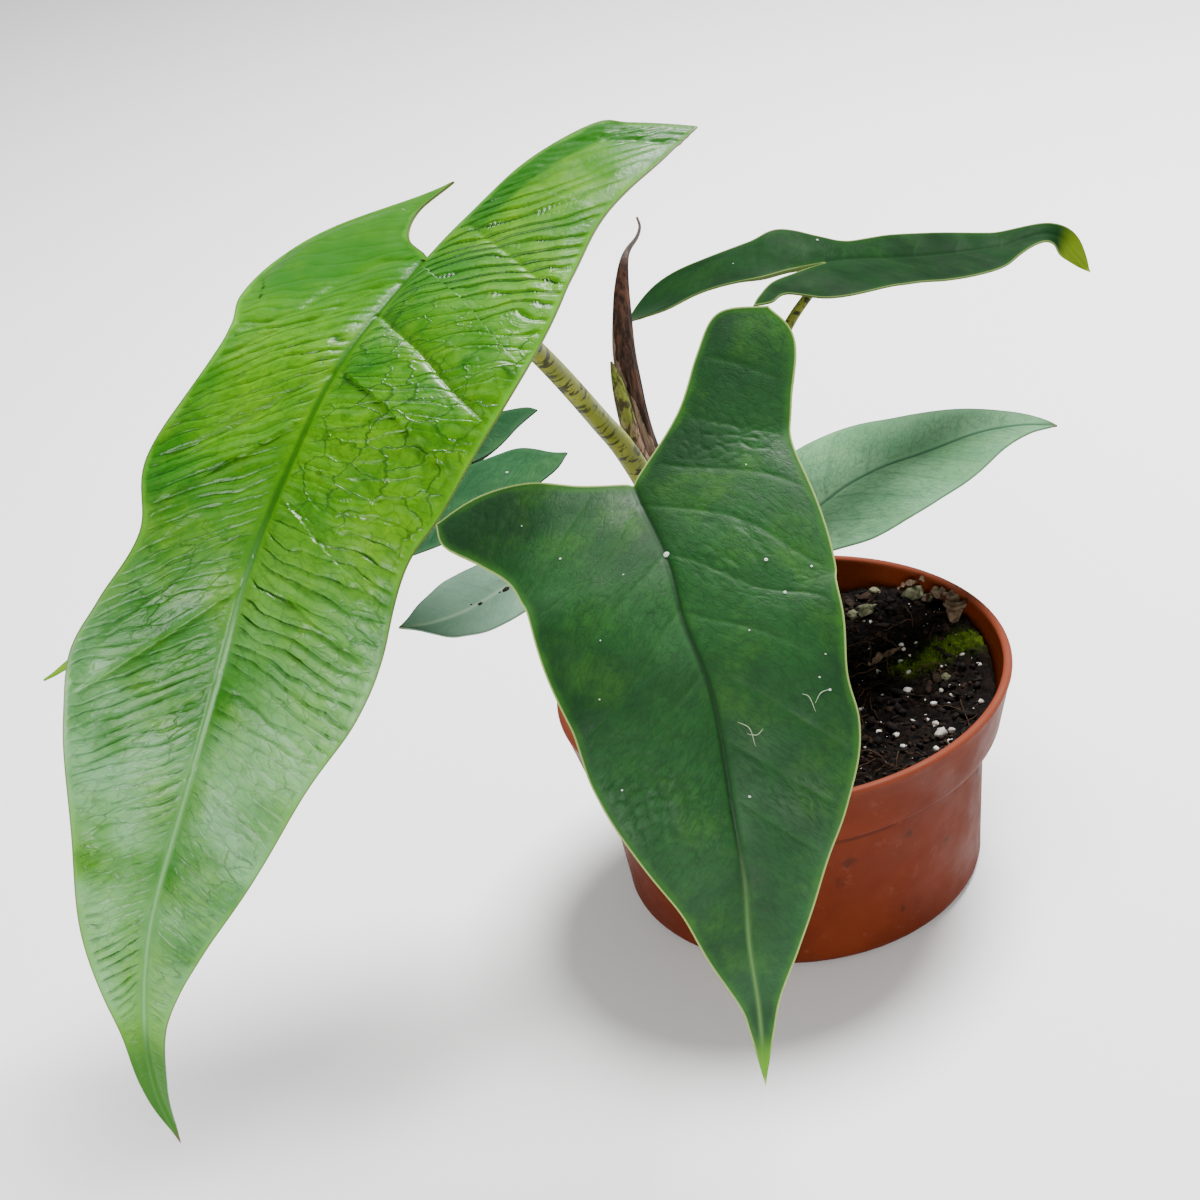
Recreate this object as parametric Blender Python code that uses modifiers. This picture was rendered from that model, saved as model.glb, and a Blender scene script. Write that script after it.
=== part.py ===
"""A potted alocasia: a low round nursery pot full of soil, a short stem, six arrow-shaped leaves on
arching stalks, and the dry sheath that the newest leaf came out of.

Lengths are in metres and +Z is up. The origin is the middle of the pot's flat underside. The plant's
own points are chosen by hand in centimetres round the pot's axis, +X to the right and -Y to the front.
"""

import math

import bmesh
import bpy
from mathutils import Vector, noise

CM = 0.01
GAP = 0.0003

POT_HEIGHT = 0.062
POT_RIM_RADIUS = 0.0608
POT_RIM_ROUND = 0.0007
POT_BAND_HEIGHT = 0.0165
POT_BAND_RADIUS = 0.057
POT_BAND_WALL = 0.002
POT_SHOULDER_RADIUS = 0.0524
POT_BASE_RADIUS = 0.0490
POT_BASE_ROUND = 0.0035
POT_WALL = 0.0016
POT_FLOOR = 0.002
POT_SIDES = 48
DRAIN_HOLES = 6
DRAIN_HOLE_RADIUS = 0.004
DRAIN_RING_RADIUS = 0.031

SOIL_LEVEL = 0.0515
SOIL_SIDES = 40
SOIL_RINGS = 8
SOIL_HOLE_FLOOR = 0.030
SOIL_SEED = 11.0
# Each mound: its middle (x, y), its height and its spread, in metres.
SOIL_MOUNDS = (
    (0.050, 0.014, 0.0060, 0.020),
    (0.036, 0.038, 0.0045, 0.014),
    (-0.002, 0.000, 0.0035, 0.024),
    (-0.038, -0.020, 0.0020, 0.018),
)

STEM_RADIUS = 0.0115
STEM_FOOT_RADIUS = 0.0085
STEM_TOP = 0.070
STEM_SIDES = 24

BLADE_THICKNESS = 0.0008
STALK_SEAT = 0.25  # centimetres from the notch to where the stalk meets the blade
STALK_BASE_RING = 0.78
STALK_STEP = 1.2

# Each leaf, in centimetres. back and midrib are points along the middle of the blade, from behind the
# notch to the notch and on to the tip. facing gives the way the upper side looks, at distances from the
# notch. fold and curl are degrees, and degrees per centimetre, by which each half rises from the
# midrib: the first of each pair is for the right half. An outline is pairs (distance along the midrib,
# width): inner runs from the lobe's tip to the notch, lobe from the lobe's tip to the shoulder, and
# margin from the shoulder to the leaf's tip.
LEAVES = {
    "left": dict(
        back=[(-2.9, -4.9, 24.2), (-4.6, -6.8, 23.4)],
        midrib=[
            (-6.6, -8.5, 22.4),
            (-8.4, -10.7, 21.5),
            (-9.6, -12.2, 20.3),
            (-10.7, -13.3, 18.8),
            (-11.6, -14.0, 17.1),
            (-12.7, -14.4, 15.0),
            (-14.1, -14.5, 12.2),
            (-14.9, -14.3, 9.7),
            (-15.2, -14.1, 7.7),
            (-15.1, -14.0, 6.1),
        ],
        facing=[
            (-6, (-0.10, -0.35, 0.93)),
            (0, (-0.10, -0.45, 0.90)),
            (6, (-0.10, -0.75, 0.65)),
            (12, (-0.05, -0.90, 0.40)),
            (21, (0.00, -0.95, 0.30)),
        ],
        fold=(
            [(-6, 5), (0, 14), (10, 12), (21, 10)],
            [(-6, -26), (-2, -24), (0, -14), (4, -4), (10, 8), (21, 10)],
        ),
        curl=([(-6, -4), (10, -5), (21, -6)], [(-6, -1), (0, -2), (10, -4), (21, -6)]),
        right=dict(
            inner=[(-4.9, 3.0), (-4.5, 1.7), (-4.3, 1.0), (-3.1, 0.3), (-1.8, 0.05), (0, 0)],
            lobe=[(-4.9, 3.0), (-3.8, 2.9), (-2.4, 2.75), (-0.8, 3.2), (1.2, 3.5)],
            margin=[(1.2, 3.5), (3.2, 3.5), (5.2, 3.2), (6.4, 2.9), (8.2, 2.95), (9.4, 2.75), (11, 2.2)]
            + [(13.5, 1.65), (15.3, 1.15), (16.6, 0.75), (17.8, 0.45), (19.4, 0.28), (21.2, 0)],
        ),
        left=dict(
            inner=[(-2.2, 1.5), (-1.2, 1.5), (-0.4, 0.9), (0, 0)],
            lobe=[(-2.2, 1.5), (-1.7, 2.0), (-0.4, 3.5), (0.5, 3.8), (1.8, 3.4)],
            margin=[(1.8, 3.4), (2.8, 2.8), (3.8, 2.6), (6.1, 2.7), (7.4, 2.2), (8.7, 2.55), (9.9, 2.8)]
            + [(11.1, 2.6), (12.2, 2.3), (13.7, 1.8), (15.5, 1.3), (17, 0.8), (18.1, 0.45)]
            + [(19.4, 0.28), (21.2, 0)],
        ),
        stalk=[
            (-1.9, -0.9, 10.4),
            (-3.1, -1.4, 13.8),
            (-3.7, -2.4, 15.4),
            (-4.7, -4.6, 18.1),
            (-5.8, -7.0, 20.7),
        ],
        stalk_radius=(0.36, 0.18),
        stalk_angle=215,
        rows=(7, 24),
        cells=5,
        pucker=0.05,
    ),
    "front": dict(
        back=[(-3.5, -2.3, 17.2), (-3.4, -4.4, 16.5)],
        midrib=[
            (-3.3, -6.5, 15.7),
            (-2.9, -8.4, 14.8),
            (-2.8, -9.6, 13.9),
            (-2.5, -10.8, 12.7),
            (-2.5, -12.0, 10.7),
            (-2.5, -12.5, 9.0),
            (-2.6, -12.7, 7.6),
            (-2.6, -12.7, 5.8),
            (-2.7, -12.6, 3.5),
        ],
        facing=[
            (-6, (0.0, -0.45, 0.90)),
            (0, (0.0, -0.50, 0.88)),
            (6, (0.0, -0.80, 0.55)),
            (14, (0.0, -0.95, 0.30)),
        ],
        fold=([(-5, 45), (-2, 35), (0, 18), (3, 10), (14, 10)], [(-5, 0), (0, 5), (3, 10), (14, 10)]),
        curl=([(-6, -5), (14, -5)], [(-6, -8), (14, -5)]),
        right=dict(
            inner=[(-2.6, 4.2), (-3.0, 3.1), (-2.3, 2.3), (-1.2, 1.4), (0, 0)],
            lobe=[(-2.6, 4.2), (-1.8, 4.45), (-0.6, 3.9), (0.7, 3.55), (2.0, 3.45)],
            margin=[(2.0, 3.45), (3.4, 3.4), (4.6, 3.2), (5.5, 2.85), (6.3, 2.9), (7.1, 2.75), (8.2, 2.3)]
            + [(9.1, 1.8), (10, 1.4), (11.2, 1.0), (12.4, 0.5), (13.4, 0.28), (15, 0)],
        ),
        left=dict(
            inner=[(-0.9, 4.6), (-1.0, 3.4), (-0.8, 2.2), (-0.3, 1.1), (0, 0)],
            lobe=[(-0.9, 4.6), (-0.3, 4.5), (0.4, 3.8), (1.1, 3.35), (2.0, 3.25)],
            margin=[(2.0, 3.25), (3.4, 3.15), (6.1, 2.95), (7.2, 2.7), (8.5, 2.1), (10.4, 1.2), (12.4, 0.45)]
            + [(13.4, 0.25), (15, 0)],
        ),
        stalk=[(-0.5, -2.2, 10.2), (-1.6, -4.2, 13.4)],
        stalk_radius=(0.33, 0.17),
        stalk_angle=265,
        rows=(6, 18),
        cells=5,
        pucker=0.03,
    ),
    "upper_right": dict(
        back=[(-2.2, 0.6, 16.5), (0.4, 2.0, 16.4)],
        midrib=[
            (2.8, 3.5, 16.0),
            (4.0, 4.3, 15.6),
            (5.2, 5.1, 15.1),
            (6.5, 5.8, 14.7),
            (8.1, 6.4, 14.4),
            (9.6, 6.8, 14.3),
            (10.7, 7.0, 12.9),
        ],
        facing=[
            (-5, (0.05, 0.0, 1.0)),
            (7.2, (0.1, 0.0, 1.0)),
            (8.6, (0.0, -0.75, 0.6)),
            (9.7, (0.0, -0.9, 0.4)),
        ],
        fold=([(-5, -20), (-3, 0), (0, 30), (4, 22), (9, 10)], [(-5, -4), (9, -4)]),
        curl=([(-5, -5), (9, -5)], [(-5, -5), (9, -5)]),
        right=dict(
            inner=[(-5.4, 1.0), (-5.0, 0.4), (-3.9, 0.5), (-2.4, 0.1), (-1.2, 0.05), (0, 0)],
            lobe=[(-5.4, 1.0), (-5.2, 1.8), (-4.5, 3.0), (-3.6, 3.1), (-2.4, 2.1), (-1.3, 1.65), (-0.4, 1.6)],
            margin=[(-0.4, 1.6), (0.5, 0.95), (1.4, 0.7), (3.2, 1.0), (4.9, 0.95), (6.6, 0.6), (7.5, 0.4)]
            + [(8.4, 0.42), (9.1, 0.24), (9.7, 0)],
        ),
        left=dict(
            inner=[(-3.3, 1.1), (-2.9, 0.8), (-2.1, 0.35), (-1.2, 0.2), (0, 0)],
            lobe=[(-3.3, 1.1), (-2.8, 1.2), (-2.2, 1.05), (-1.4, 1.7), (0, 1.85)],
            margin=[(0, 1.85), (2.3, 1.65), (4.1, 1.45), (5.6, 1.15), (6.6, 0.6), (7.5, 0.34)]
            + [(8.4, 0.36), (9.1, 0.2), (9.7, 0)],
        ),
        stalk=[(0.33, 0.92, 9.5), (0.4, 1.3, 11.2), (0.8, 2.0, 13.1), (1.5, 2.7, 14.65)],
        stalk_radius=(0.28, 0.11),
        stalk_angle=68,
        rows=(6, 14),
        cells=4,
        pucker=0.02,
    ),
    "lower_right": dict(
        back=[(-1.2, -0.1, 9.7), (0.3, 0.8, 9.9)],
        midrib=[
            (1.5, 1.6, 9.9),
            (2.6, 2.3, 10.1),
            (3.7, 2.8, 10.2),
            (4.9, 3.2, 10.2),
            (6.5, 3.8, 10.2),
            (7.8, 4.2, 10.0),
            (8.9, 4.4, 9.7),
        ],
        facing=[(-4, (-0.05, -0.05, 1.0)), (9, (0.0, -0.1, 1.0))],
        fold=([(-4, 8), (9, 10)], [(-4, 8), (9, 12)]),
        curl=([(-4, -8), (9, -7)], [(-4, -8), (9, -7)]),
        right=dict(
            inner=[(-2.0, 1.6), (-1.4, 0.95), (-0.6, 0.4), (0, 0)],
            lobe=[(-2.0, 1.6), (-1.2, 1.95), (0, 2.3), (1.4, 2.5)],
            margin=[(1.4, 2.5), (2.8, 2.4), (4.2, 1.95), (5.6, 1.3), (6.8, 0.7), (7.6, 0.3), (8.4, 0)],
        ),
        left=dict(
            inner=[(-2.0, 1.6), (-1.4, 0.95), (-0.6, 0.4), (0, 0)],
            lobe=[(-2.0, 1.6), (-1.2, 1.95), (0, 2.3), (1.4, 2.5)],
            margin=[(1.4, 2.5), (2.8, 2.4), (4.2, 1.95), (5.6, 1.3), (6.8, 0.7), (7.6, 0.3), (8.4, 0)],
        ),
        stalk=[(1.0, 0.6, 8.4)],
        stalk_radius=(0.28, 0.14),
        stalk_angle=12,
        rows=(5, 12),
        cells=4,
        pucker=0.02,
    ),
    "rear_left": dict(
        back=[(-3.4, 1.5, 13.7), (-5.4, 1.3, 13.5)],
        midrib=[
            (-7.5, 1.0, 13.2),
            (-9.5, 0.6, 13.0),
            (-11.6, 0.2, 12.7),
            (-14.2, -0.6, 12.2),
            (-16.4, -1.3, 11.5),
            (-18.4, -2.0, 10.9),
        ],
        facing=[(-4, (0.0, -0.1, 1.0)), (11, (-0.1, -0.1, 1.0))],
        fold=([(-4, 12), (11, 10)], [(-4, 12), (11, 10)]),
        curl=([(-4, -7), (11, -7)], [(-4, -7), (11, -7)]),
        right=dict(
            inner=[(-2.8, 1.4), (-2.4, 1.1), (-1.7, 0.25), (-0.9, 0.1), (0, 0)],
            lobe=[(-2.8, 1.4), (-2.3, 2.0), (-1.0, 2.6), (0.3, 3.0)],
            margin=[(0.3, 3.0), (1.9, 3.1), (3.6, 2.8), (5.4, 2.2), (7.2, 1.5), (8.8, 0.9)]
            + [(9.8, 0.4), (11.6, 0)],
        ),
        left=dict(
            inner=[(-2.5, 1.1), (-1.9, 0.7), (-1.1, 0.15), (0, 0)],
            lobe=[(-2.5, 1.1), (-2.2, 1.4), (-1.3, 1.7), (0.3, 2.3)],
            margin=[(0.3, 2.3), (1.9, 2.6), (3.6, 2.5), (5.4, 2.1), (7.2, 1.5), (8.8, 0.9)]
            + [(9.8, 0.4), (11.6, 0)],
        ),
        stalk=[(-1.3, 1.2, 8.4), (-3.6, 1.3, 10.2), (-5.8, 1.2, 12.0)],
        stalk_radius=(0.30, 0.15),
        stalk_angle=118,
        rows=(5, 13),
        cells=4,
        pucker=0.02,
    ),
    "small_left": dict(
        back=[(-4.9, 0.7, 10.5), (-5.7, 0.6, 10.3)],
        midrib=[(-6.5, 0.5, 10.0), (-7.3, 0.35, 9.7), (-8.0, 0.2, 9.5), (-8.9, 0.0, 9.45), (-9.7, -0.2, 9.6)],
        facing=[(-2, (0.0, -0.2, 1.0)), (4, (0.0, -0.2, 1.0))],
        fold=([(-2, 10), (4, 10)], [(-2, 10), (4, 10)]),
        curl=([(-2, -10), (4, -10)], [(-2, -10), (4, -10)]),
        right=dict(
            inner=[(-1.1, 0.9), (-0.8, 0.5), (-0.3, 0.1), (0, 0)],
            lobe=[(-1.1, 0.9), (-0.4, 1.25), (0.3, 1.3)],
            margin=[(0.3, 1.3), (1.2, 1.2), (1.8, 1.0), (2.2, 0.85), (2.6, 0.5), (2.9, 0.25), (3.4, 0)],
        ),
        left=dict(
            inner=[(-1.1, 0.8), (-0.8, 0.45), (-0.3, 0.1), (0, 0)],
            lobe=[(-1.1, 0.8), (-0.3, 1.1), (0.7, 1.25)],
            margin=[(0.7, 1.25), (1.3, 1.35), (1.8, 1.3), (2.3, 1.0), (2.7, 0.7), (3.1, 0.25), (3.4, 0)],
        ),
        stalk=[(-1.6, 0.5, 8.3), (-3.4, 0.6, 9.5), (-5.0, 0.6, 10.0)],
        stalk_radius=(0.22, 0.11),
        stalk_angle=167,
        rows=(3, 8),
        cells=4,
        pucker=0.01,
    ),
}

# The dry sheath and the green one beside it: points in centimetres, with the radius at each.
DRY_SHEATH = [
    (0.0, 0.0, 7.03, 0.24),
    (0.0, 0.0, 7.4, 0.24),
    (-0.6, 0.0, 8.9, 0.24),
    (-1.6, 0.0, 10.8, 0.24),
    (-2.3, 0.0, 12.3, 0.24),
    (-2.6, 0.0, 13.4, 0.25),
    (-2.74, 0.0, 14.3, 0.27),
    (-2.8, 0.0, 15.1, 0.29),
    (-2.82, 0.1, 16.0, 0.28),
    (-2.7, 0.3, 17.0, 0.22),
    (-2.6, 0.5, 17.54, 0.17),
    (-2.46, 0.7, 18.02, 0.11),
    (-2.31, 0.9, 18.24, 0.07),
    (-2.05, 1.0, 18.48, 0.045),
    (-1.93, 1.1, 18.7, 0.035),
    (-1.96, 1.2, 18.92, 0.03),
]
GREEN_SHEATH = [
    (-0.39, -0.02, 7.03, 0.09),
    (-0.39, -0.02, 7.4, 0.09),
    (-0.90, -0.12, 8.7, 0.09),
    (-1.22, -0.30, 9.6, 0.10),
    (-1.80, -0.44, 10.9, 0.14),
    (-2.46, -0.45, 12.3, 0.19),
    (-2.86, -0.46, 13.4, 0.20),
    (-3.00, -0.46, 14.2, 0.20),
    (-3.07, -0.46, 14.9, 0.18),
    (-3.12, -0.45, 15.5, 0.13),
    (-3.18, -0.43, 16.0, 0.03),
]


def catmull_rom(points, steps=12):
    """A smooth curve through the points, as a list of vectors with steps to each stretch."""
    points = [Vector(p) for p in points]
    points = [2 * points[0] - points[1]] + points + [2 * points[-1] - points[-2]]
    curve = []
    for a, b, c, d in zip(points, points[1:], points[2:], points[3:]):
        for k in range(steps):
            t = k / steps
            square = (2 * a - 5 * b + 4 * c - d) * t**2
            cube = (3 * b - a - 3 * c + d) * t**3
            curve.append((2 * b + (c - a) * t + square + cube) / 2)
    curve.append(points[-2])
    return curve


def lengths_along(curve):
    lengths = [0.0]
    for a, b in zip(curve, curve[1:]):
        lengths.append(lengths[-1] + (b - a).length)
    return lengths


def at_length(curve, lengths, length):
    """The point of the curve at this length, and past its ends the nearest end."""
    if length <= lengths[0]:
        return curve[0]
    for k in range(1, len(curve)):
        if length <= lengths[k]:
            part = (length - lengths[k - 1]) / (lengths[k] - lengths[k - 1])
            return curve[k - 1].lerp(curve[k], part)
    return curve[-1]


def spread(curve, count):
    """count + 1 points at equal lengths along the curve."""
    lengths = lengths_along(curve)
    return [at_length(curve, lengths, lengths[-1] * k / count) for k in range(count + 1)]


def between(pairs, at):
    """A straight-line reading, at this distance, of (distance, number or vector) pairs."""
    if at <= pairs[0][0]:
        return pairs[0][1]
    for (a, first), (b, second) in zip(pairs, pairs[1:]):
        if at <= b:
            part = (at - a) / (b - a)
            return first * (1 - part) + second * part
    return pairs[-1][1]


class Blade:
    """The upper face of a leaf blade: a sheet swept along the midrib, folded there and curled outwards."""

    def __init__(self, leaf):
        self.leaf = leaf
        self.curve = catmull_rom(leaf["back"] + leaf["midrib"])
        notch = lengths_along(self.curve)[12 * len(leaf["back"])]
        self.lengths = [length - notch for length in lengths_along(self.curve)]
        self.length = self.lengths[-1]
        self.facing = [(at, Vector(way)) for at, way in leaf["facing"]]

    def frame(self, s):
        """The midrib's point, the way to the tip, the way the upper side looks and the way to the right."""
        ahead = at_length(self.curve, self.lengths, s + 0.25)
        behind = at_length(self.curve, self.lengths, s - 0.25)
        along = (ahead - behind).normalized()
        up = between(self.facing, s)
        up = (up - along * up.dot(along)).normalized()
        return at_length(self.curve, self.lengths, s), along, up, up.cross(along)

    def point(self, s, w, side, lift=0.0):
        """The point at distance s along the midrib and w out from it, on side +1 (right) or -1 (left)."""
        middle, along, up, right = self.frame(s)
        which = 0 if side > 0 else 1
        fold = math.radians(between(self.leaf["fold"][which], s))
        curl = math.radians(between(self.leaf["curl"][which], s))
        out = (math.sin(fold + curl * w) - math.sin(fold)) / curl
        rise = (math.cos(fold) - math.cos(fold + curl * w)) / curl
        return middle + right * (side * out) + up * (rise + lift)

    def half(self, side):
        """Rows of points from the midrib out to the edge, from the lobe's tip to the leaf's tip."""
        outline = self.leaf["right" if side > 0 else "left"]
        lobe_rows, blade_rows = self.leaf["rows"]
        cells = self.leaf["cells"]

        def flat(pairs):
            return [(s, w, 0.0) for s, w in pairs]

        edge = catmull_rom(flat(outline["lobe"][:-1] + outline["margin"]))
        shoulder = 12 * (len(outline["lobe"]) - 1)
        inner = spread(catmull_rom(flat(outline["inner"])), lobe_rows)[:-1]
        inner += [Vector((self.length * k / blade_rows, 0.0, 0.0)) for k in range(blade_rows + 1)]
        outer = spread(edge[: shoulder + 1], lobe_rows)[:-1] + spread(edge[shoulder:], blade_rows)
        outer[-1] = inner[-1]
        rows = []
        for k, (near, far) in enumerate(zip(inner, outer)):
            row = []
            for c in range(cells + 1):
                part = c / cells
                at = near.lerp(far, part)
                lift = self.leaf["pucker"] * (-1) ** k * math.sin(math.pi * part)
                row.append(self.point(at.x, at.y, side, lift))
            rows.append(row)
        return rows


def make_material(name, colour, roughness, metallic=0.0):
    material = bpy.data.materials.new(name)
    material.use_nodes = True
    shader = material.node_tree.nodes["Principled BSDF"]
    shader.inputs["Base Color"].default_value = (*colour, 1.0)
    shader.inputs["Roughness"].default_value = roughness
    shader.inputs["Metallic"].default_value = metallic
    return material


def add_object(name, mesh, material, collection):
    obj = bpy.data.objects.new(name, mesh)
    mesh.materials.clear()
    mesh.materials.append(material)
    collection.objects.link(obj)
    return obj


def shade(mesh):
    mesh.shade_smooth()
    mesh.set_sharp_from_angle(angle=math.radians(40))


def turned_mesh(name, profile, sides):
    """A closed turned body. The profile starts on the axis, runs down its outer side and ends on the axis."""
    outline = bpy.data.meshes.new(f"{name} profile")
    edges = [(k, k + 1) for k in range(len(profile) - 1)]
    outline.from_pydata([(x, 0.0, z) for x, z in profile], edges, [])
    lathe = bpy.data.objects.new(f"{name} profile", outline)
    bpy.context.scene.collection.objects.link(lathe)
    turn = lathe.modifiers.new("turn", "SCREW")
    turn.steps = sides
    turn.render_steps = sides
    turn.use_merge_vertices = True
    turn.merge_threshold = 0.00001
    weld = lathe.modifiers.new("weld the axis", "WELD")
    weld.merge_threshold = 0.00001
    graph = bpy.context.evaluated_depsgraph_get()
    mesh = bpy.data.meshes.new_from_object(lathe.evaluated_get(graph))
    mesh.name = name
    bpy.data.objects.remove(lathe)
    shade(mesh)
    return mesh


def arc(middle, radius, start, end, steps):
    """Points on an arc in the profile's plane, from one angle in degrees to another."""
    x, z = middle
    angles = [math.radians(start + (end - start) * k / steps) for k in range(steps + 1)]
    return [(x + radius * math.cos(a), z + radius * math.sin(a)) for a in angles]


def band_foot():
    """The height of the rim band's lower edge."""
    return POT_HEIGHT - POT_BAND_HEIGHT


def band_inside(z):
    """The radius of the rim band's inner face at this height."""
    taper = (POT_RIM_RADIUS - POT_BAND_RADIUS) / POT_BAND_HEIGHT
    return POT_BAND_RADIUS - POT_BAND_WALL + taper * (z - band_foot())


def make_pot(parts, cutters):
    """A thin pot with a tapering rim band, a nearly upright wall and drain holes in its floor."""
    rim = POT_RIM_RADIUS
    foot = band_foot()
    round_height = POT_HEIGHT - POT_RIM_ROUND
    profile = [(0.0, POT_FLOOR)]
    profile += [(POT_BASE_RADIUS - POT_WALL, POT_FLOOR)]
    profile += [(POT_SHOULDER_RADIUS - POT_WALL, foot)]
    profile += [(band_inside(foot + POT_WALL), foot + POT_WALL)]
    profile += arc((band_inside(POT_HEIGHT) + POT_RIM_ROUND, round_height), POT_RIM_ROUND, 180, 90, 2)
    profile += arc((rim - POT_RIM_ROUND, round_height), POT_RIM_ROUND, 90, 0, 2)
    profile += [(POT_BAND_RADIUS, foot)]
    profile += [(POT_SHOULDER_RADIUS, foot - POT_WALL)]
    profile += arc((POT_BASE_RADIUS - POT_BASE_ROUND, POT_BASE_ROUND), POT_BASE_ROUND, 0, -90, 3)
    profile += [(0.0, 0.0)]
    material = make_material("terracotta plastic", (0.26, 0.045, 0.02), 0.45)
    pot = add_object("pot", turned_mesh("pot", profile, POT_SIDES), material, parts)
    for k in range(DRAIN_HOLES):
        angle = 2 * math.pi * (k + 0.5) / DRAIN_HOLES
        bpy.ops.mesh.primitive_cylinder_add(
            vertices=12,
            radius=DRAIN_HOLE_RADIUS,
            depth=4 * POT_FLOOR,
            location=(
                DRAIN_RING_RADIUS * math.cos(angle),
                DRAIN_RING_RADIUS * math.sin(angle),
                POT_FLOOR / 2,
            ),
        )
        cutter = bpy.context.active_object
        cutter.name = f"drain_cutter_{k + 1}"
        cutter.hide_render = True
        cutter.display_type = "WIRE"
        for collection in list(cutter.users_collection):
            collection.objects.unlink(cutter)
        cutters.objects.link(cutter)
        cut = pot.modifiers.new(f"drain {k + 1}", "BOOLEAN")
        cut.object = cutter
        cut.operation = "DIFFERENCE"
        cut.solver = "EXACT"


def soil_height(x, y):
    """The height of the soil's top, from its mounds and its crumbs."""
    z = SOIL_LEVEL
    for mound_x, mound_y, height, size in SOIL_MOUNDS:
        away = ((x - mound_x) ** 2 + (y - mound_y) ** 2) / size**2
        z += height * math.exp(-away)
    z += 0.0009 * noise.noise(Vector((x * 160, y * 160, SOIL_SEED)))
    return z


def make_soil(parts):
    """The soil: it fills the pot and has a plain hole for the stem."""
    foot = band_foot()
    hole = STEM_RADIUS + GAP
    edge = band_inside(SOIL_LEVEL) - GAP
    floor = POT_FLOOR + GAP
    profile = [(0.0, SOIL_HOLE_FLOOR), (hole, SOIL_HOLE_FLOOR)]
    profile += [(hole + (edge - hole) * k / SOIL_RINGS, SOIL_LEVEL) for k in range(SOIL_RINGS + 1)]
    profile += [(band_inside(foot + POT_WALL) - GAP, foot + POT_WALL + GAP)]
    profile += [(POT_SHOULDER_RADIUS - POT_WALL - GAP, foot + GAP)]
    profile += [(POT_BASE_RADIUS - POT_WALL - 2 * GAP, floor), (0.0, floor)]
    mesh = turned_mesh("soil", profile, SOIL_SIDES)
    for vert in mesh.vertices:
        if abs(vert.co.z - SOIL_LEVEL) > 1e-6:
            continue
        radius = vert.co.xy.length
        vert.co.z = soil_height(vert.co.x, vert.co.y)
        if radius > edge - 1e-4:
            vert.co.xy *= (band_inside(vert.co.z) - 2 * GAP) / radius
    material = make_material("potting soil", (0.018, 0.012, 0.009), 0.95)
    soil = add_object("soil", mesh, material, parts)
    soil.modifiers.new("triangles", "TRIANGULATE")


def make_stem(parts):
    """The short stem: it stands in the soil's hole and carries every stalk on its flat top."""
    foot = SOIL_HOLE_FLOOR + GAP
    profile = [(0.0, STEM_TOP), (STEM_RADIUS * 0.93, STEM_TOP), (STEM_RADIUS, STEM_TOP - 0.0015)]
    profile += [(STEM_RADIUS * 0.94, STEM_TOP - 0.008), (STEM_RADIUS, SOIL_LEVEL)]
    profile += [(STEM_FOOT_RADIUS, foot), (0.0, foot)]
    material = make_material("stem skin", (0.10, 0.06, 0.025), 0.8)
    add_object("stem", turned_mesh("stem", profile, STEM_SIDES), material, parts)


def make_tube(name, points, material, collection, bevel_resolution=2):
    """A round tapering tube: points are (x, y, z, radius) in centimetres."""
    data = bpy.data.curves.new(name, "CURVE")
    data.dimensions = "3D"
    data.bevel_depth = CM
    data.bevel_resolution = bevel_resolution
    data.use_fill_caps = True
    spline = data.splines.new("POLY")
    spline.points.add(len(points) - 1)
    for point, (x, y, z, radius) in zip(spline.points, points):
        point.co = (x * CM, y * CM, z * CM, 1.0)
        point.radius = radius
    spline.use_smooth = True
    data.materials.append(material)
    obj = bpy.data.objects.new(name, data)
    collection.objects.link(obj)
    return obj


def tapering(points, radius, step):
    """A smooth route through the points, with (x, y, z, radius) every step and an even taper.

    Its first stretch is upright, so that its foot is level."""
    curve = catmull_rom(points[1:])
    count = max(4, round(lengths_along(curve)[-1] / step))
    route = [Vector(points[0])] + spread(curve, count)
    count += 1
    first, last = radius
    return [(p.x, p.y, p.z, first + (last - first) * k / count) for k, p in enumerate(route)]


def stalk_route(leaf, blade):
    """From the stem's top, through the leaf's own points, to a seat just under the blade at its notch."""
    angle = math.radians(leaf["stalk_angle"])
    ring = STALK_BASE_RING
    foot = Vector((ring * math.cos(angle), ring * math.sin(angle), (STEM_TOP + GAP) / CM))
    middle, along, up, right = blade.frame(STALK_SEAT)
    arriving = (middle - Vector(leaf["stalk"][-1])).normalized()
    slant = math.sqrt(1 - min(1.0, arriving.dot(up)) ** 2)
    below = (BLADE_THICKNESS + GAP) / CM + leaf["stalk_radius"][1] * slant
    seat = middle - up * below
    return [foot, foot + Vector((0, 0, 0.3))] + [Vector(p) for p in leaf["stalk"]] + [seat]


def make_stalk(name, leaf, blade, material, parts):
    route = tapering(stalk_route(leaf, blade), leaf["stalk_radius"], STALK_STEP)
    make_tube(f"stalk_{name}", route, material, parts)


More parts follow.
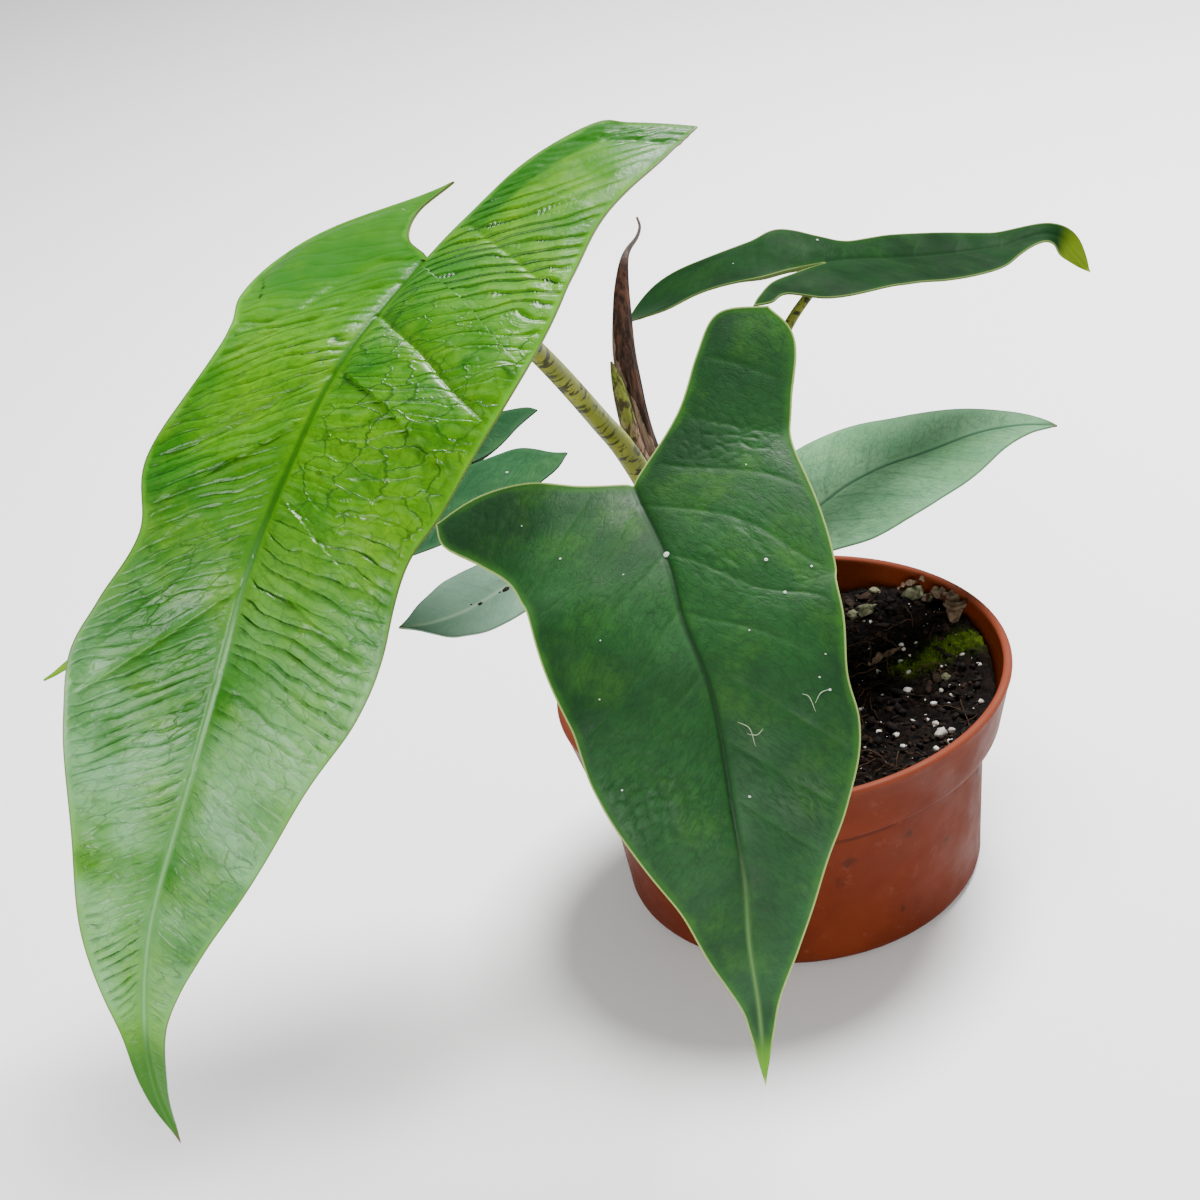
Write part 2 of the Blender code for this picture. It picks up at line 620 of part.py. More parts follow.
def make_blade(name, leaf, blade, material, parts):
    """The blade as one sheet of triangles, thickened downwards."""
    shape = bmesh.new()
    lobe_rows = leaf["rows"][0]
    shared = {}
    for side in (1, -1):
        grid = []
        for k, row in enumerate(blade.half(side)):
            verts = []
            for c, point in enumerate(row):
                if c == 0 and k >= lobe_rows and side < 0:
                    verts.append(shared[k])
                elif c > 0 and (row[0] - row[-1]).length < 1e-4:
                    verts.append(verts[0])
                else:
                    verts.append(shape.verts.new(point * CM))
            if side > 0:
                shared[k] = verts[0]
            grid.append(verts)
        for low, high in zip(grid, grid[1:]):
            for a, b, c, d in zip(low, low[1:], high[1:], high):
                corners = [d, c, b, a] if side > 0 else [a, b, c, d]
                ring = [v for k, v in enumerate(corners) if v is not corners[k - 1]]
                shape.faces.new(ring)
    bmesh.ops.triangulate(shape, faces=shape.faces, quad_method="SHORT_EDGE")
    mesh = bpy.data.meshes.new(f"blade_{name}")
    shape.to_mesh(mesh)
    shape.free()
    shade(mesh)
    obj = add_object(f"blade_{name}", mesh, material, parts)
    thicken = obj.modifiers.new("thickness", "SOLIDIFY")
    thicken.thickness = BLADE_THICKNESS
    thicken.offset = -1.0


def main():
    for obj in list(bpy.data.objects):
        bpy.data.objects.remove(obj)
    parts = bpy.data.collections.new("potted alocasia")
    cutters = bpy.data.collections.new("cutters")
    bpy.context.scene.collection.children.link(parts)
    bpy.context.scene.collection.children.link(cutters)
    make_pot(parts, cutters)
    make_soil(parts)
    make_stem(parts)
    stalk_skin = make_material("mottled stalk", (0.23, 0.25, 0.05), 0.5)
    new_leaf = make_material("new leaf", (0.13, 0.42, 0.02), 0.35)
    old_leaf = make_material("old leaf", (0.03, 0.14, 0.04), 0.4)
    pale_leaf = make_material("pale leaf", (0.16, 0.32, 0.17), 0.5)
    skins = {"left": new_leaf, "small_left": pale_leaf}
    for name, leaf in LEAVES.items():
        blade = Blade(leaf)
        make_stalk(name, leaf, blade, stalk_skin, parts)
        make_blade(name, leaf, blade, skins.get(name, old_leaf), parts)
    make_tube("dry_sheath", DRY_SHEATH, make_material("dry sheath", (0.10, 0.035, 0.02), 0.7), parts)
    make_tube("green_sheath", GREEN_SHEATH, make_material("green sheath", (0.22, 0.24, 0.07), 0.6), parts)


main()
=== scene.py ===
"""The looks of the potted alocasia: fine leaves, stalks, sheaths, soil and their materials, round the
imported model. Lengths are in metres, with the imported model's own axes, unless a name says otherwise."""

import math

import bmesh
import bpy
import numpy as np
from mathutils import Matrix, Vector


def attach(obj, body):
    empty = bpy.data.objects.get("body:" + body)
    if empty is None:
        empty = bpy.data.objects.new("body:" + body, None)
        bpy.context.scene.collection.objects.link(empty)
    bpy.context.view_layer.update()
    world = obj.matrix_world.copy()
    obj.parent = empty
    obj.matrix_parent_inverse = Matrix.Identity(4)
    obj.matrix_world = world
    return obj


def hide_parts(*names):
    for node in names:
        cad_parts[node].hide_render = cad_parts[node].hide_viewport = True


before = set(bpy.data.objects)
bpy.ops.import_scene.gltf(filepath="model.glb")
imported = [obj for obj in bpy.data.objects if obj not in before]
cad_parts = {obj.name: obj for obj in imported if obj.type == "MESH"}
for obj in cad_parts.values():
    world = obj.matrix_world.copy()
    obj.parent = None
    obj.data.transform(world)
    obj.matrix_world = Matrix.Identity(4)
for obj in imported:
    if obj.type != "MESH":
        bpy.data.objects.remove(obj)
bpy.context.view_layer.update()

CAMERA_PLACE = (-0.0445, -0.474, 0.365)
CAMERA_PITCH = 29.9
CAMERA_ROLL = -10.0
CAMERA_LENS = 63.0
CM = 0.01
STALK_BASE_RING = 0.78
STEM_TOP = 7.03
STALK_SEAT = 0.25

# Each leaf, in centimetres. back and midrib are points along the middle of the blade, from behind the
# notch to the notch and on to the tip. facing gives the way the upper side looks, at distances from the
# notch. fold and curl are degrees, and degrees per centimetre, by which each half rises from the
# midrib: the first of each pair is for the right half. An outline is pairs (distance along the midrib,
# width): inner runs from the lobe's tip to the notch, lobe from the lobe's tip to the shoulder, and
# margin from the shoulder to the leaf's tip.
LEAVES = {
    "left": dict(
        back=[(-2.9, -4.9, 24.2), (-4.6, -6.8, 23.4)],
        midrib=[
            (-6.6, -8.5, 22.4),
            (-8.4, -10.7, 21.5),
            (-9.6, -12.2, 20.3),
            (-10.7, -13.3, 18.8),
            (-11.6, -14.0, 17.1),
            (-12.7, -14.4, 15.0),
            (-14.1, -14.5, 12.2),
            (-14.9, -14.3, 9.7),
            (-15.2, -14.1, 7.7),
            (-15.1, -14.0, 6.1),
        ],
        facing=[
            (-6, (-0.10, -0.35, 0.93)),
            (0, (-0.10, -0.45, 0.90)),
            (6, (-0.10, -0.75, 0.65)),
            (12, (-0.05, -0.90, 0.40)),
            (21, (0.00, -0.95, 0.30)),
        ],
        fold=(
            [(-6, 5), (0, 14), (10, 12), (21, 10)],
            [(-6, -26), (-2, -24), (0, -14), (4, -4), (10, 8), (21, 10)],
        ),
        curl=([(-6, -4), (10, -5), (21, -6)], [(-6, -1), (0, -2), (10, -4), (21, -6)]),
        right=dict(
            inner=[(-4.9, 3.0), (-4.5, 1.7), (-4.3, 1.0), (-3.1, 0.3), (-1.8, 0.05), (0, 0)],
            lobe=[(-4.9, 3.0), (-3.8, 2.9), (-2.4, 2.75), (-0.8, 3.2), (1.2, 3.5)],
            margin=[(1.2, 3.5), (3.2, 3.5), (5.2, 3.2), (6.4, 2.9), (8.2, 2.95), (9.4, 2.75), (11, 2.2)]
            + [(13.5, 1.65), (15.3, 1.15), (16.6, 0.75), (17.8, 0.45), (19.4, 0.28), (21.2, 0)],
        ),
        left=dict(
            inner=[(-2.2, 1.5), (-1.2, 1.5), (-0.4, 0.9), (0, 0)],
            lobe=[(-2.2, 1.5), (-1.7, 2.0), (-0.4, 3.5), (0.5, 3.8), (1.8, 3.4)],
            margin=[(1.8, 3.4), (2.8, 2.8), (3.8, 2.6), (6.1, 2.7), (7.4, 2.2), (8.7, 2.55), (9.9, 2.8)]
            + [(11.1, 2.6), (12.2, 2.3), (13.7, 1.8), (15.5, 1.3), (17, 0.8), (18.1, 0.45)]
            + [(19.4, 0.28), (21.2, 0)],
        ),
        stalk=[
            (-1.9, -0.9, 10.4),
            (-3.1, -1.4, 13.8),
            (-3.7, -2.4, 15.4),
            (-4.7, -4.6, 18.1),
            (-5.8, -7.0, 20.7),
        ],
        stalk_radius=(0.36, 0.18),
        stalk_angle=215,
        rows=(7, 24),
        cells=5,
        pucker=0.05,
    ),
    "front": dict(
        back=[(-3.5, -2.3, 17.2), (-3.4, -4.4, 16.5)],
        midrib=[
            (-3.3, -6.5, 15.7),
            (-2.9, -8.4, 14.8),
            (-2.8, -9.6, 13.9),
            (-2.5, -10.8, 12.7),
            (-2.5, -12.0, 10.7),
            (-2.5, -12.5, 9.0),
            (-2.6, -12.7, 7.6),
            (-2.6, -12.7, 5.8),
            (-2.7, -12.6, 3.5),
        ],
        facing=[
            (-6, (0.0, -0.45, 0.90)),
            (0, (0.0, -0.50, 0.88)),
            (6, (0.0, -0.80, 0.55)),
            (14, (0.0, -0.95, 0.30)),
        ],
        fold=([(-5, 45), (-2, 35), (0, 18), (3, 10), (14, 10)], [(-5, 0), (0, 5), (3, 10), (14, 10)]),
        curl=([(-6, -5), (14, -5)], [(-6, -8), (14, -5)]),
        right=dict(
            inner=[(-2.6, 4.2), (-3.0, 3.1), (-2.3, 2.3), (-1.2, 1.4), (0, 0)],
            lobe=[(-2.6, 4.2), (-1.8, 4.45), (-0.6, 3.9), (0.7, 3.55), (2.0, 3.45)],
            margin=[(2.0, 3.45), (3.4, 3.4), (4.6, 3.2), (5.5, 2.85), (6.3, 2.9), (7.1, 2.75), (8.2, 2.3)]
            + [(9.1, 1.8), (10, 1.4), (11.2, 1.0), (12.4, 0.5), (13.4, 0.28), (15, 0)],
        ),
        left=dict(
            inner=[(-0.9, 4.6), (-1.0, 3.4), (-0.8, 2.2), (-0.3, 1.1), (0, 0)],
            lobe=[(-0.9, 4.6), (-0.3, 4.5), (0.4, 3.8), (1.1, 3.35), (2.0, 3.25)],
            margin=[(2.0, 3.25), (3.4, 3.15), (6.1, 2.95), (7.2, 2.7), (8.5, 2.1), (10.4, 1.2), (12.4, 0.45)]
            + [(13.4, 0.25), (15, 0)],
        ),
        stalk=[(-0.5, -2.2, 10.2), (-1.6, -4.2, 13.4)],
        stalk_radius=(0.33, 0.17),
        stalk_angle=265,
        rows=(6, 18),
        cells=5,
        pucker=0.03,
    ),
    "upper_right": dict(
        back=[(-2.2, 0.6, 16.5), (0.4, 2.0, 16.4)],
        midrib=[
            (2.8, 3.5, 16.0),
            (4.0, 4.3, 15.6),
            (5.2, 5.1, 15.1),
            (6.5, 5.8, 14.7),
            (8.1, 6.4, 14.4),
            (9.6, 6.8, 14.3),
            (10.7, 7.0, 12.9),
        ],
        facing=[
            (-5, (0.05, 0.0, 1.0)),
            (7.2, (0.1, 0.0, 1.0)),
            (8.6, (0.0, -0.75, 0.6)),
            (9.7, (0.0, -0.9, 0.4)),
        ],
        fold=([(-5, -20), (-3, 0), (0, 30), (4, 22), (9, 10)], [(-5, -4), (9, -4)]),
        curl=([(-5, -5), (9, -5)], [(-5, -5), (9, -5)]),
        right=dict(
            inner=[(-5.4, 1.0), (-5.0, 0.4), (-3.9, 0.5), (-2.4, 0.1), (-1.2, 0.05), (0, 0)],
            lobe=[(-5.4, 1.0), (-5.2, 1.8), (-4.5, 3.0), (-3.6, 3.1), (-2.4, 2.1), (-1.3, 1.65), (-0.4, 1.6)],
            margin=[(-0.4, 1.6), (0.5, 0.95), (1.4, 0.7), (3.2, 1.0), (4.9, 0.95), (6.6, 0.6), (7.5, 0.4)]
            + [(8.4, 0.42), (9.1, 0.24), (9.7, 0)],
        ),
        left=dict(
            inner=[(-3.3, 1.1), (-2.9, 0.8), (-2.1, 0.35), (-1.2, 0.2), (0, 0)],
            lobe=[(-3.3, 1.1), (-2.8, 1.2), (-2.2, 1.05), (-1.4, 1.7), (0, 1.85)],
            margin=[(0, 1.85), (2.3, 1.65), (4.1, 1.45), (5.6, 1.15), (6.6, 0.6), (7.5, 0.34)]
            + [(8.4, 0.36), (9.1, 0.2), (9.7, 0)],
        ),
        stalk=[(0.33, 0.92, 9.5), (0.4, 1.3, 11.2), (0.8, 2.0, 13.1), (1.5, 2.7, 14.65)],
        stalk_radius=(0.28, 0.11),
        stalk_angle=68,
        rows=(6, 14),
        cells=4,
        pucker=0.02,
    ),
    "lower_right": dict(
        back=[(-1.2, -0.1, 9.7), (0.3, 0.8, 9.9)],
        midrib=[
            (1.5, 1.6, 9.9),
            (2.6, 2.3, 10.1),
            (3.7, 2.8, 10.2),
            (4.9, 3.2, 10.2),
            (6.5, 3.8, 10.2),
            (7.8, 4.2, 10.0),
            (8.9, 4.4, 9.7),
        ],
        facing=[(-4, (-0.05, -0.05, 1.0)), (9, (0.0, -0.1, 1.0))],
        fold=([(-4, 8), (9, 10)], [(-4, 8), (9, 12)]),
        curl=([(-4, -8), (9, -7)], [(-4, -8), (9, -7)]),
        right=dict(
            inner=[(-2.0, 1.6), (-1.4, 0.95), (-0.6, 0.4), (0, 0)],
            lobe=[(-2.0, 1.6), (-1.2, 1.95), (0, 2.3), (1.4, 2.5)],
            margin=[(1.4, 2.5), (2.8, 2.4), (4.2, 1.95), (5.6, 1.3), (6.8, 0.7), (7.6, 0.3), (8.4, 0)],
        ),
        left=dict(
            inner=[(-2.0, 1.6), (-1.4, 0.95), (-0.6, 0.4), (0, 0)],
            lobe=[(-2.0, 1.6), (-1.2, 1.95), (0, 2.3), (1.4, 2.5)],
            margin=[(1.4, 2.5), (2.8, 2.4), (4.2, 1.95), (5.6, 1.3), (6.8, 0.7), (7.6, 0.3), (8.4, 0)],
        ),
        stalk=[(1.0, 0.6, 8.4)],
        stalk_radius=(0.28, 0.14),
        stalk_angle=12,
        rows=(5, 12),
        cells=4,
        pucker=0.02,
    ),
    "rear_left": dict(
        back=[(-3.4, 1.5, 13.7), (-5.4, 1.3, 13.5)],
        midrib=[
            (-7.5, 1.0, 13.2),
            (-9.5, 0.6, 13.0),
            (-11.6, 0.2, 12.7),
            (-14.2, -0.6, 12.2),
            (-16.4, -1.3, 11.5),
            (-18.4, -2.0, 10.9),
        ],
        facing=[(-4, (0.0, -0.1, 1.0)), (11, (-0.1, -0.1, 1.0))],
        fold=([(-4, 12), (11, 10)], [(-4, 12), (11, 10)]),
        curl=([(-4, -7), (11, -7)], [(-4, -7), (11, -7)]),
        right=dict(
            inner=[(-2.8, 1.4), (-2.4, 1.1), (-1.7, 0.25), (-0.9, 0.1), (0, 0)],
            lobe=[(-2.8, 1.4), (-2.3, 2.0), (-1.0, 2.6), (0.3, 3.0)],
            margin=[(0.3, 3.0), (1.9, 3.1), (3.6, 2.8), (5.4, 2.2), (7.2, 1.5), (8.8, 0.9)]
            + [(9.8, 0.4), (11.6, 0)],
        ),
        left=dict(
            inner=[(-2.5, 1.1), (-1.9, 0.7), (-1.1, 0.15), (0, 0)],
            lobe=[(-2.5, 1.1), (-2.2, 1.4), (-1.3, 1.7), (0.3, 2.3)],
            margin=[(0.3, 2.3), (1.9, 2.6), (3.6, 2.5), (5.4, 2.1), (7.2, 1.5), (8.8, 0.9)]
            + [(9.8, 0.4), (11.6, 0)],
        ),
        stalk=[(-1.3, 1.2, 8.4), (-3.6, 1.3, 10.2), (-5.8, 1.2, 12.0)],
        stalk_radius=(0.30, 0.15),
        stalk_angle=118,
        rows=(5, 13),
        cells=4,
        pucker=0.02,
    ),
    "small_left": dict(
        back=[(-4.9, 0.7, 10.5), (-5.7, 0.6, 10.3)],
        midrib=[(-6.5, 0.5, 10.0), (-7.3, 0.35, 9.7), (-8.0, 0.2, 9.5), (-8.9, 0.0, 9.45), (-9.7, -0.2, 9.6)],
        facing=[(-2, (0.0, -0.2, 1.0)), (4, (0.0, -0.2, 1.0))],
        fold=([(-2, 10), (4, 10)], [(-2, 10), (4, 10)]),
        curl=([(-2, -10), (4, -10)], [(-2, -10), (4, -10)]),
        right=dict(
            inner=[(-1.1, 0.9), (-0.8, 0.5), (-0.3, 0.1), (0, 0)],
            lobe=[(-1.1, 0.9), (-0.4, 1.25), (0.3, 1.3)],
            margin=[(0.3, 1.3), (1.2, 1.2), (1.8, 1.0), (2.2, 0.85), (2.6, 0.5), (2.9, 0.25), (3.4, 0)],
        ),
        left=dict(
            inner=[(-1.1, 0.8), (-0.8, 0.45), (-0.3, 0.1), (0, 0)],
            lobe=[(-1.1, 0.8), (-0.3, 1.1), (0.7, 1.25)],
            margin=[(0.7, 1.25), (1.3, 1.35), (1.8, 1.3), (2.3, 1.0), (2.7, 0.7), (3.1, 0.25), (3.4, 0)],
        ),
        stalk=[(-1.6, 0.5, 8.3), (-3.4, 0.6, 9.5), (-5.0, 0.6, 10.0)],
        stalk_radius=(0.22, 0.11),
        stalk_angle=167,
        rows=(3, 8),
        cells=4,
        pucker=0.01,
    ),
}

# The dry sheath and the green one beside it: points in centimetres, with the radius at each.
DRY_SHEATH = [
    (0.0, 0.0, 7.03, 0.24),
    (0.0, 0.0, 7.4, 0.24),
    (-0.6, 0.0, 8.9, 0.24),
    (-1.6, 0.0, 10.8, 0.24),
    (-2.3, 0.0, 12.3, 0.24),
    (-2.6, 0.0, 13.4, 0.25),
    (-2.74, 0.0, 14.3, 0.27),
    (-2.8, 0.0, 15.1, 0.29),
    (-2.82, 0.1, 16.0, 0.28),
    (-2.7, 0.3, 17.0, 0.22),
    (-2.6, 0.5, 17.54, 0.17),
    (-2.46, 0.7, 18.02, 0.11),
    (-2.31, 0.9, 18.24, 0.07),
    (-2.05, 1.0, 18.48, 0.045),
    (-1.93, 1.1, 18.7, 0.035),
    (-1.96, 1.2, 18.92, 0.03),
]
GREEN_SHEATH = [
    (-0.39, -0.02, 7.03, 0.09),
    (-0.39, -0.02, 7.4, 0.09),
    (-0.90, -0.12, 8.7, 0.09),
    (-1.22, -0.30, 9.6, 0.10),
    (-1.80, -0.44, 10.9, 0.14),
    (-2.46, -0.45, 12.3, 0.19),
    (-2.86, -0.46, 13.4, 0.20),
    (-3.00, -0.46, 14.2, 0.20),
    (-3.07, -0.46, 14.9, 0.18),
    (-3.12, -0.45, 15.5, 0.13),
    (-3.18, -0.43, 16.0, 0.03),
]


def smooth_curve(points, steps=12):
    """A smooth curve through the points, with steps to each stretch."""
    p = np.array(points, float)
    p = np.vstack([2 * p[0] - p[1], p, 2 * p[-1] - p[-2]])
    t = np.arange(steps)[:, None] / steps
    stretches = []
    for a, b, c, d in zip(p, p[1:], p[2:], p[3:]):
        square = (2 * a - 5 * b + 4 * c - d) * t**2
        cube = (3 * b - a - 3 * c + d) * t**3
        stretches.append((2 * b + (c - a) * t + square + cube) / 2)
    stretches.append(p[-2:-1])
    return np.vstack(stretches)


def lengths_of(curve):
    return np.concatenate([[0.0], np.cumsum(np.linalg.norm(np.diff(curve, axis=0), axis=1))])


def read(curve, lengths, at):
    """The curve's points at these lengths."""
    return np.stack([np.interp(at, lengths, curve[:, k]) for k in range(curve.shape[1])], axis=-1)


def spread(curve, count):
    """count + 1 points at equal lengths along the curve."""
    lengths = lengths_of(curve)
    return read(curve, lengths, np.linspace(0, lengths[-1], count + 1))


def unit(v):
    return v / np.linalg.norm(v, axis=-1, keepdims=True)


def softened(pairs, width=0.5):
    """A table of (distance, value) pairs as a fine table with its corners smoothed."""
    at = np.arange(-9.0, 24.0, 0.05)
    values = np.array([np.atleast_1d(v) for _, v in pairs], float)
    fine = read(values, [a for a, _ in pairs], at)
    reach = int(3 * width / 0.05)
    weights = np.exp(-0.5 * (np.arange(-reach, reach + 1) * 0.05 / width) ** 2)
    weights /= weights.sum()
    columns = [np.convolve(np.pad(c, reach, "edge"), weights, "valid") for c in fine.T]
    return at, np.stack(columns, axis=-1)


def stepped(x, low, high):
    """0 below low, 1 above high and a smooth rise between."""
    t = np.clip((x - low) / (high - low), 0, 1)
    return t * t * (3 - 2 * t)


def hashed(x, y, seed):
    """A fixed scattered number from 0 to 1 for each pair of whole numbers."""
    n = (x.astype(np.int64) * 374761393 + y.astype(np.int64) * 668265263 + seed * 1442695041) & 0xFFFFFFFF
    n = ((n ^ (n >> 13)) * 1274126177) & 0xFFFFFFFF
    return ((n ^ (n >> 16)) & 0xFFFFFF) / 0xFFFFFF


def noise2(x, y, seed):
    """Smooth noise from -1 to 1 with features one unit apart."""
    column, row = np.floor(x), np.floor(y)
    a, b = x - column, y - row
    a, b = a * a * (3 - 2 * a), b * b * (3 - 2 * b)
    low = hashed(column, row, seed) * (1 - a) + hashed(column + 1, row, seed) * a
    high = hashed(column, row + 1, seed) * (1 - a) + hashed(column + 1, row + 1, seed) * a
    return 2 * (low * (1 - b) + high * b) - 1


def layered(x, y, seed, layers=3):
    total = 0.0
    for k in range(layers):
        total = total + noise2(x * 2**k, y * 2**k, seed + k) / 2**k
    return total / 1.75


def cells2(x, y, seed, jitter=0.9):
    """The distances to the nearest and the second nearest of one scattered point in each unit square."""
    column, row = np.floor(x), np.floor(y)
    first = np.full(np.shape(x), 9.0)
    second = np.full(np.shape(x), 9.0)
    for i in (-1, 0, 1):
        for j in (-1, 0, 1):
            across = column + i + 0.5 + jitter * (hashed(column + i, row + j, seed) - 0.5)
            along = row + j + 0.5 + jitter * (hashed(column + i, row + j, seed + 71) - 0.5)
            away = np.hypot(across - x, along - y)
            second = np.minimum(second, np.maximum(first, away))
            first = np.minimum(first, away)
    return first, second


class Blade:
    """The upper face of a leaf blade: a sheet swept along the midrib, folded there and curled outwards."""

    def __init__(self, leaf):
        self.leaf = leaf
        self.curve = smooth_curve(leaf["back"] + leaf["midrib"])
        lengths = lengths_of(self.curve)
        self.lengths = lengths - lengths[12 * len(leaf["back"])]
        self.length = self.lengths[-1]
        self.facing = softened(leaf["facing"])
        self.fold = [softened(table) for table in leaf["fold"]]
        self.curl = [softened(table) for table in leaf["curl"]]

    def frame(self, s):
        """The midrib's point, the way to the tip, the way the upper side looks and the way to the right."""
        ahead = read(self.curve, self.lengths, s + 0.25)
        behind = read(self.curve, self.lengths, s - 0.25)
        along = unit(ahead - behind)
        up = read(self.facing[1], self.facing[0], s)
        up = unit(up - along * np.sum(up * along, axis=-1, keepdims=True))
        return read(self.curve, self.lengths, s), along, up, np.cross(up, along)

    def place(self, s, w, side):
        """The point at distance s along the midrib and w out from it, and the way the blade faces there."""
        middle, along, up, right = self.frame(s)
        which = 0 if side > 0 else 1
        fold = np.radians(read(self.fold[which][1], self.fold[which][0], s)[..., 0])
        curl = np.radians(read(self.curl[which][1], self.curl[which][0], s)[..., 0])
        out = (np.sin(fold + curl * w) - np.sin(fold)) / curl
        rise = (np.cos(fold) - np.cos(fold + curl * w)) / curl
        point = middle + right * (side * out)[..., None] + up * rise[..., None]
        lean = (fold + curl * w) * stepped(w, 0.0, 0.25)
        facing = up * np.cos(lean)[..., None] - right * (side * np.sin(lean))[..., None]
        return point, facing

    def half(self, side, fine, cells):
        """A grid of (s, w), from the lobe's tip to the leaf's tip and from the midrib out to the edge."""
        outline = self.leaf["right" if side > 0 else "left"]
        lobe_rows, blade_rows = (2 * round(fine * rows / 2) for rows in self.leaf["rows"])
        edge = smooth_curve(outline["lobe"][:-1] + outline["margin"][:-1] + [(self.length, 0)])
        shoulder = 12 * (len(outline["lobe"]) - 1)
        inner = spread(smooth_curve(outline["inner"]), lobe_rows)[:-1]
        middle = np.stack([np.linspace(0, self.length, blade_rows + 1), np.zeros(blade_rows + 1)], axis=-1)
        outer = np.vstack([spread(edge[: shoulder + 1], lobe_rows)[:-1], spread(edge[shoulder:], blade_rows)])
        part = np.linspace(0, 1, cells + 1)
        part = (part - 0.05 * np.sin(2 * np.pi * part))[None, :, None]
        near = np.vstack([inner, middle])[:, None, :]
        grid = near * (1 - part) + outer[:, None, :] * part
        return grid, lobe_rows, np.vstack([self.inner_rim(side), edge])

    def inner_rim(self, side):
        return smooth_curve(self.leaf["right" if side > 0 else "left"]["inner"])


def away_from(points, line):
    """The distance in the plane from each point to a line drawn through close points."""
    flat = points.reshape(-1, 2)
    found = np.empty(len(flat))
    for k in range(0, len(flat), 4000):
        part = flat[k : k + 4000]
        gap = part[:, None, :] - line[None, :, :]
        nearest = (gap**2).sum(axis=-1).argmin(axis=-1)
        best = np.full(len(part), np.inf)
        for first in (nearest - 1, nearest):
            start = line[np.clip(first, 0, len(line) - 2)]
            way = line[np.clip(first, 0, len(line) - 2) + 1] - start
            size = np.maximum((way**2).sum(axis=-1), 1e-12)
            share = np.clip(((part - start) * way).sum(axis=-1) / size, 0, 1)
            away = part - start - share[:, None] * way
            best = np.minimum(best, np.hypot(away[:, 0], away[:, 1]))
        found[k : k + 4000] = best
    return found.reshape(points.shape[:-1])


def mesh_object(name, points, triangles, marks=()):
    """A smooth mesh from points in metres. marks are (name, values) with one number, or four, a point."""
    triangles = np.asarray(triangles)
    whole = (
        (triangles[:, 0] != triangles[:, 1])
        & (triangles[:, 1] != triangles[:, 2])
        & (triangles[:, 2] != triangles[:, 0])
    )
    triangles = triangles[whole]
    mesh = bpy.data.meshes.new(name)
    mesh.vertices.add(len(points))
    mesh.vertices.foreach_set("co", np.asarray(points, np.float32).ravel())
    mesh.loops.add(3 * len(triangles))
    mesh.loops.foreach_set("vertex_index", triangles.astype(np.int32).ravel())
    mesh.polygons.add(len(triangles))
    mesh.polygons.foreach_set("loop_start", np.arange(0, 3 * len(triangles), 3, dtype=np.int32))
    mesh.update(calc_edges=True)
    mesh.validate()
    mesh.shade_smooth()
    for label, values in marks:
        values = np.asarray(values, np.float32)
        kind = "FLOAT" if values.ndim == 1 else "FLOAT_COLOR"
        layer = mesh.attributes.new(label, kind, "POINT")
        layer.data.foreach_set("value" if values.ndim == 1 else "color", values.ravel())
    obj = bpy.data.objects.new(name, mesh)
    bpy.context.scene.collection.objects.link(obj)
    return obj


def sheet_faces(index):
    """Two triangles for each cell of a grid of point numbers."""
    a, b, c, d = index[:-1, :-1], index[:-1, 1:], index[1:, 1:], index[1:, :-1]
    first = np.stack([a, b, c], axis=-1).reshape(-1, 3)
    second = np.stack([a, c, d], axis=-1).reshape(-1, 3)
    return np.vstack([first, second])


def wrinkles(s, w, lean, size, stretch, seed):
    """0 in the furrows and more between them: cells that lie the way lean says, as long as stretch says."""
    column, row = np.meshgrid(
        np.arange(math.floor(s.min() / size) - 2, math.ceil(s.max() / size) + 3),
        np.arange(-2, math.ceil(w.max() / size) + 3),
        indexing="ij",
    )
    middle_s = ((column + 0.5 + 0.9 * (hashed(column, row, seed) - 0.5)) * size).ravel()
    middle_w = ((row + 0.5 + 0.9 * (hashed(column, row, seed + 71) - 0.5)) * size).ravel()
    flat_s, flat_w, flat_lean, flat_stretch = s.ravel(), w.ravel(), lean.ravel(), stretch.ravel()
    found = np.empty(len(flat_s))
    for k in range(0, len(found), 4000):
        part = slice(k, k + 4000)
        gap_s = flat_s[part, None] - middle_s
        gap_w = flat_w[part, None] - middle_w
        long = np.sqrt(1 + flat_lean[part, None] ** 2)
        across = (gap_s - flat_lean[part, None] * gap_w) / long / size * flat_stretch[part, None]
        along = (flat_lean[part, None] * gap_s + gap_w) / long / size / flat_stretch[part, None]
        nearest = np.partition(across**2 + along**2, 1, axis=1)[:, :2]
        found[part] = np.sqrt(nearest[:, 1]) - np.sqrt(nearest[:, 0])
    return found.reshape(s.shape)


def traced(s, w, grain):
    """Where the line that follows the grain through each point leaves the midrib."""
    start = s.copy()
    step = w / 10
    for _ in range(10):
        middle = start - 0.5 * step * np.interp(start, *grain)
        start = start - step * np.interp(middle, *grain)
    return start


RIDGE_AT = np.arange(-9.0, 24.0, 0.05)


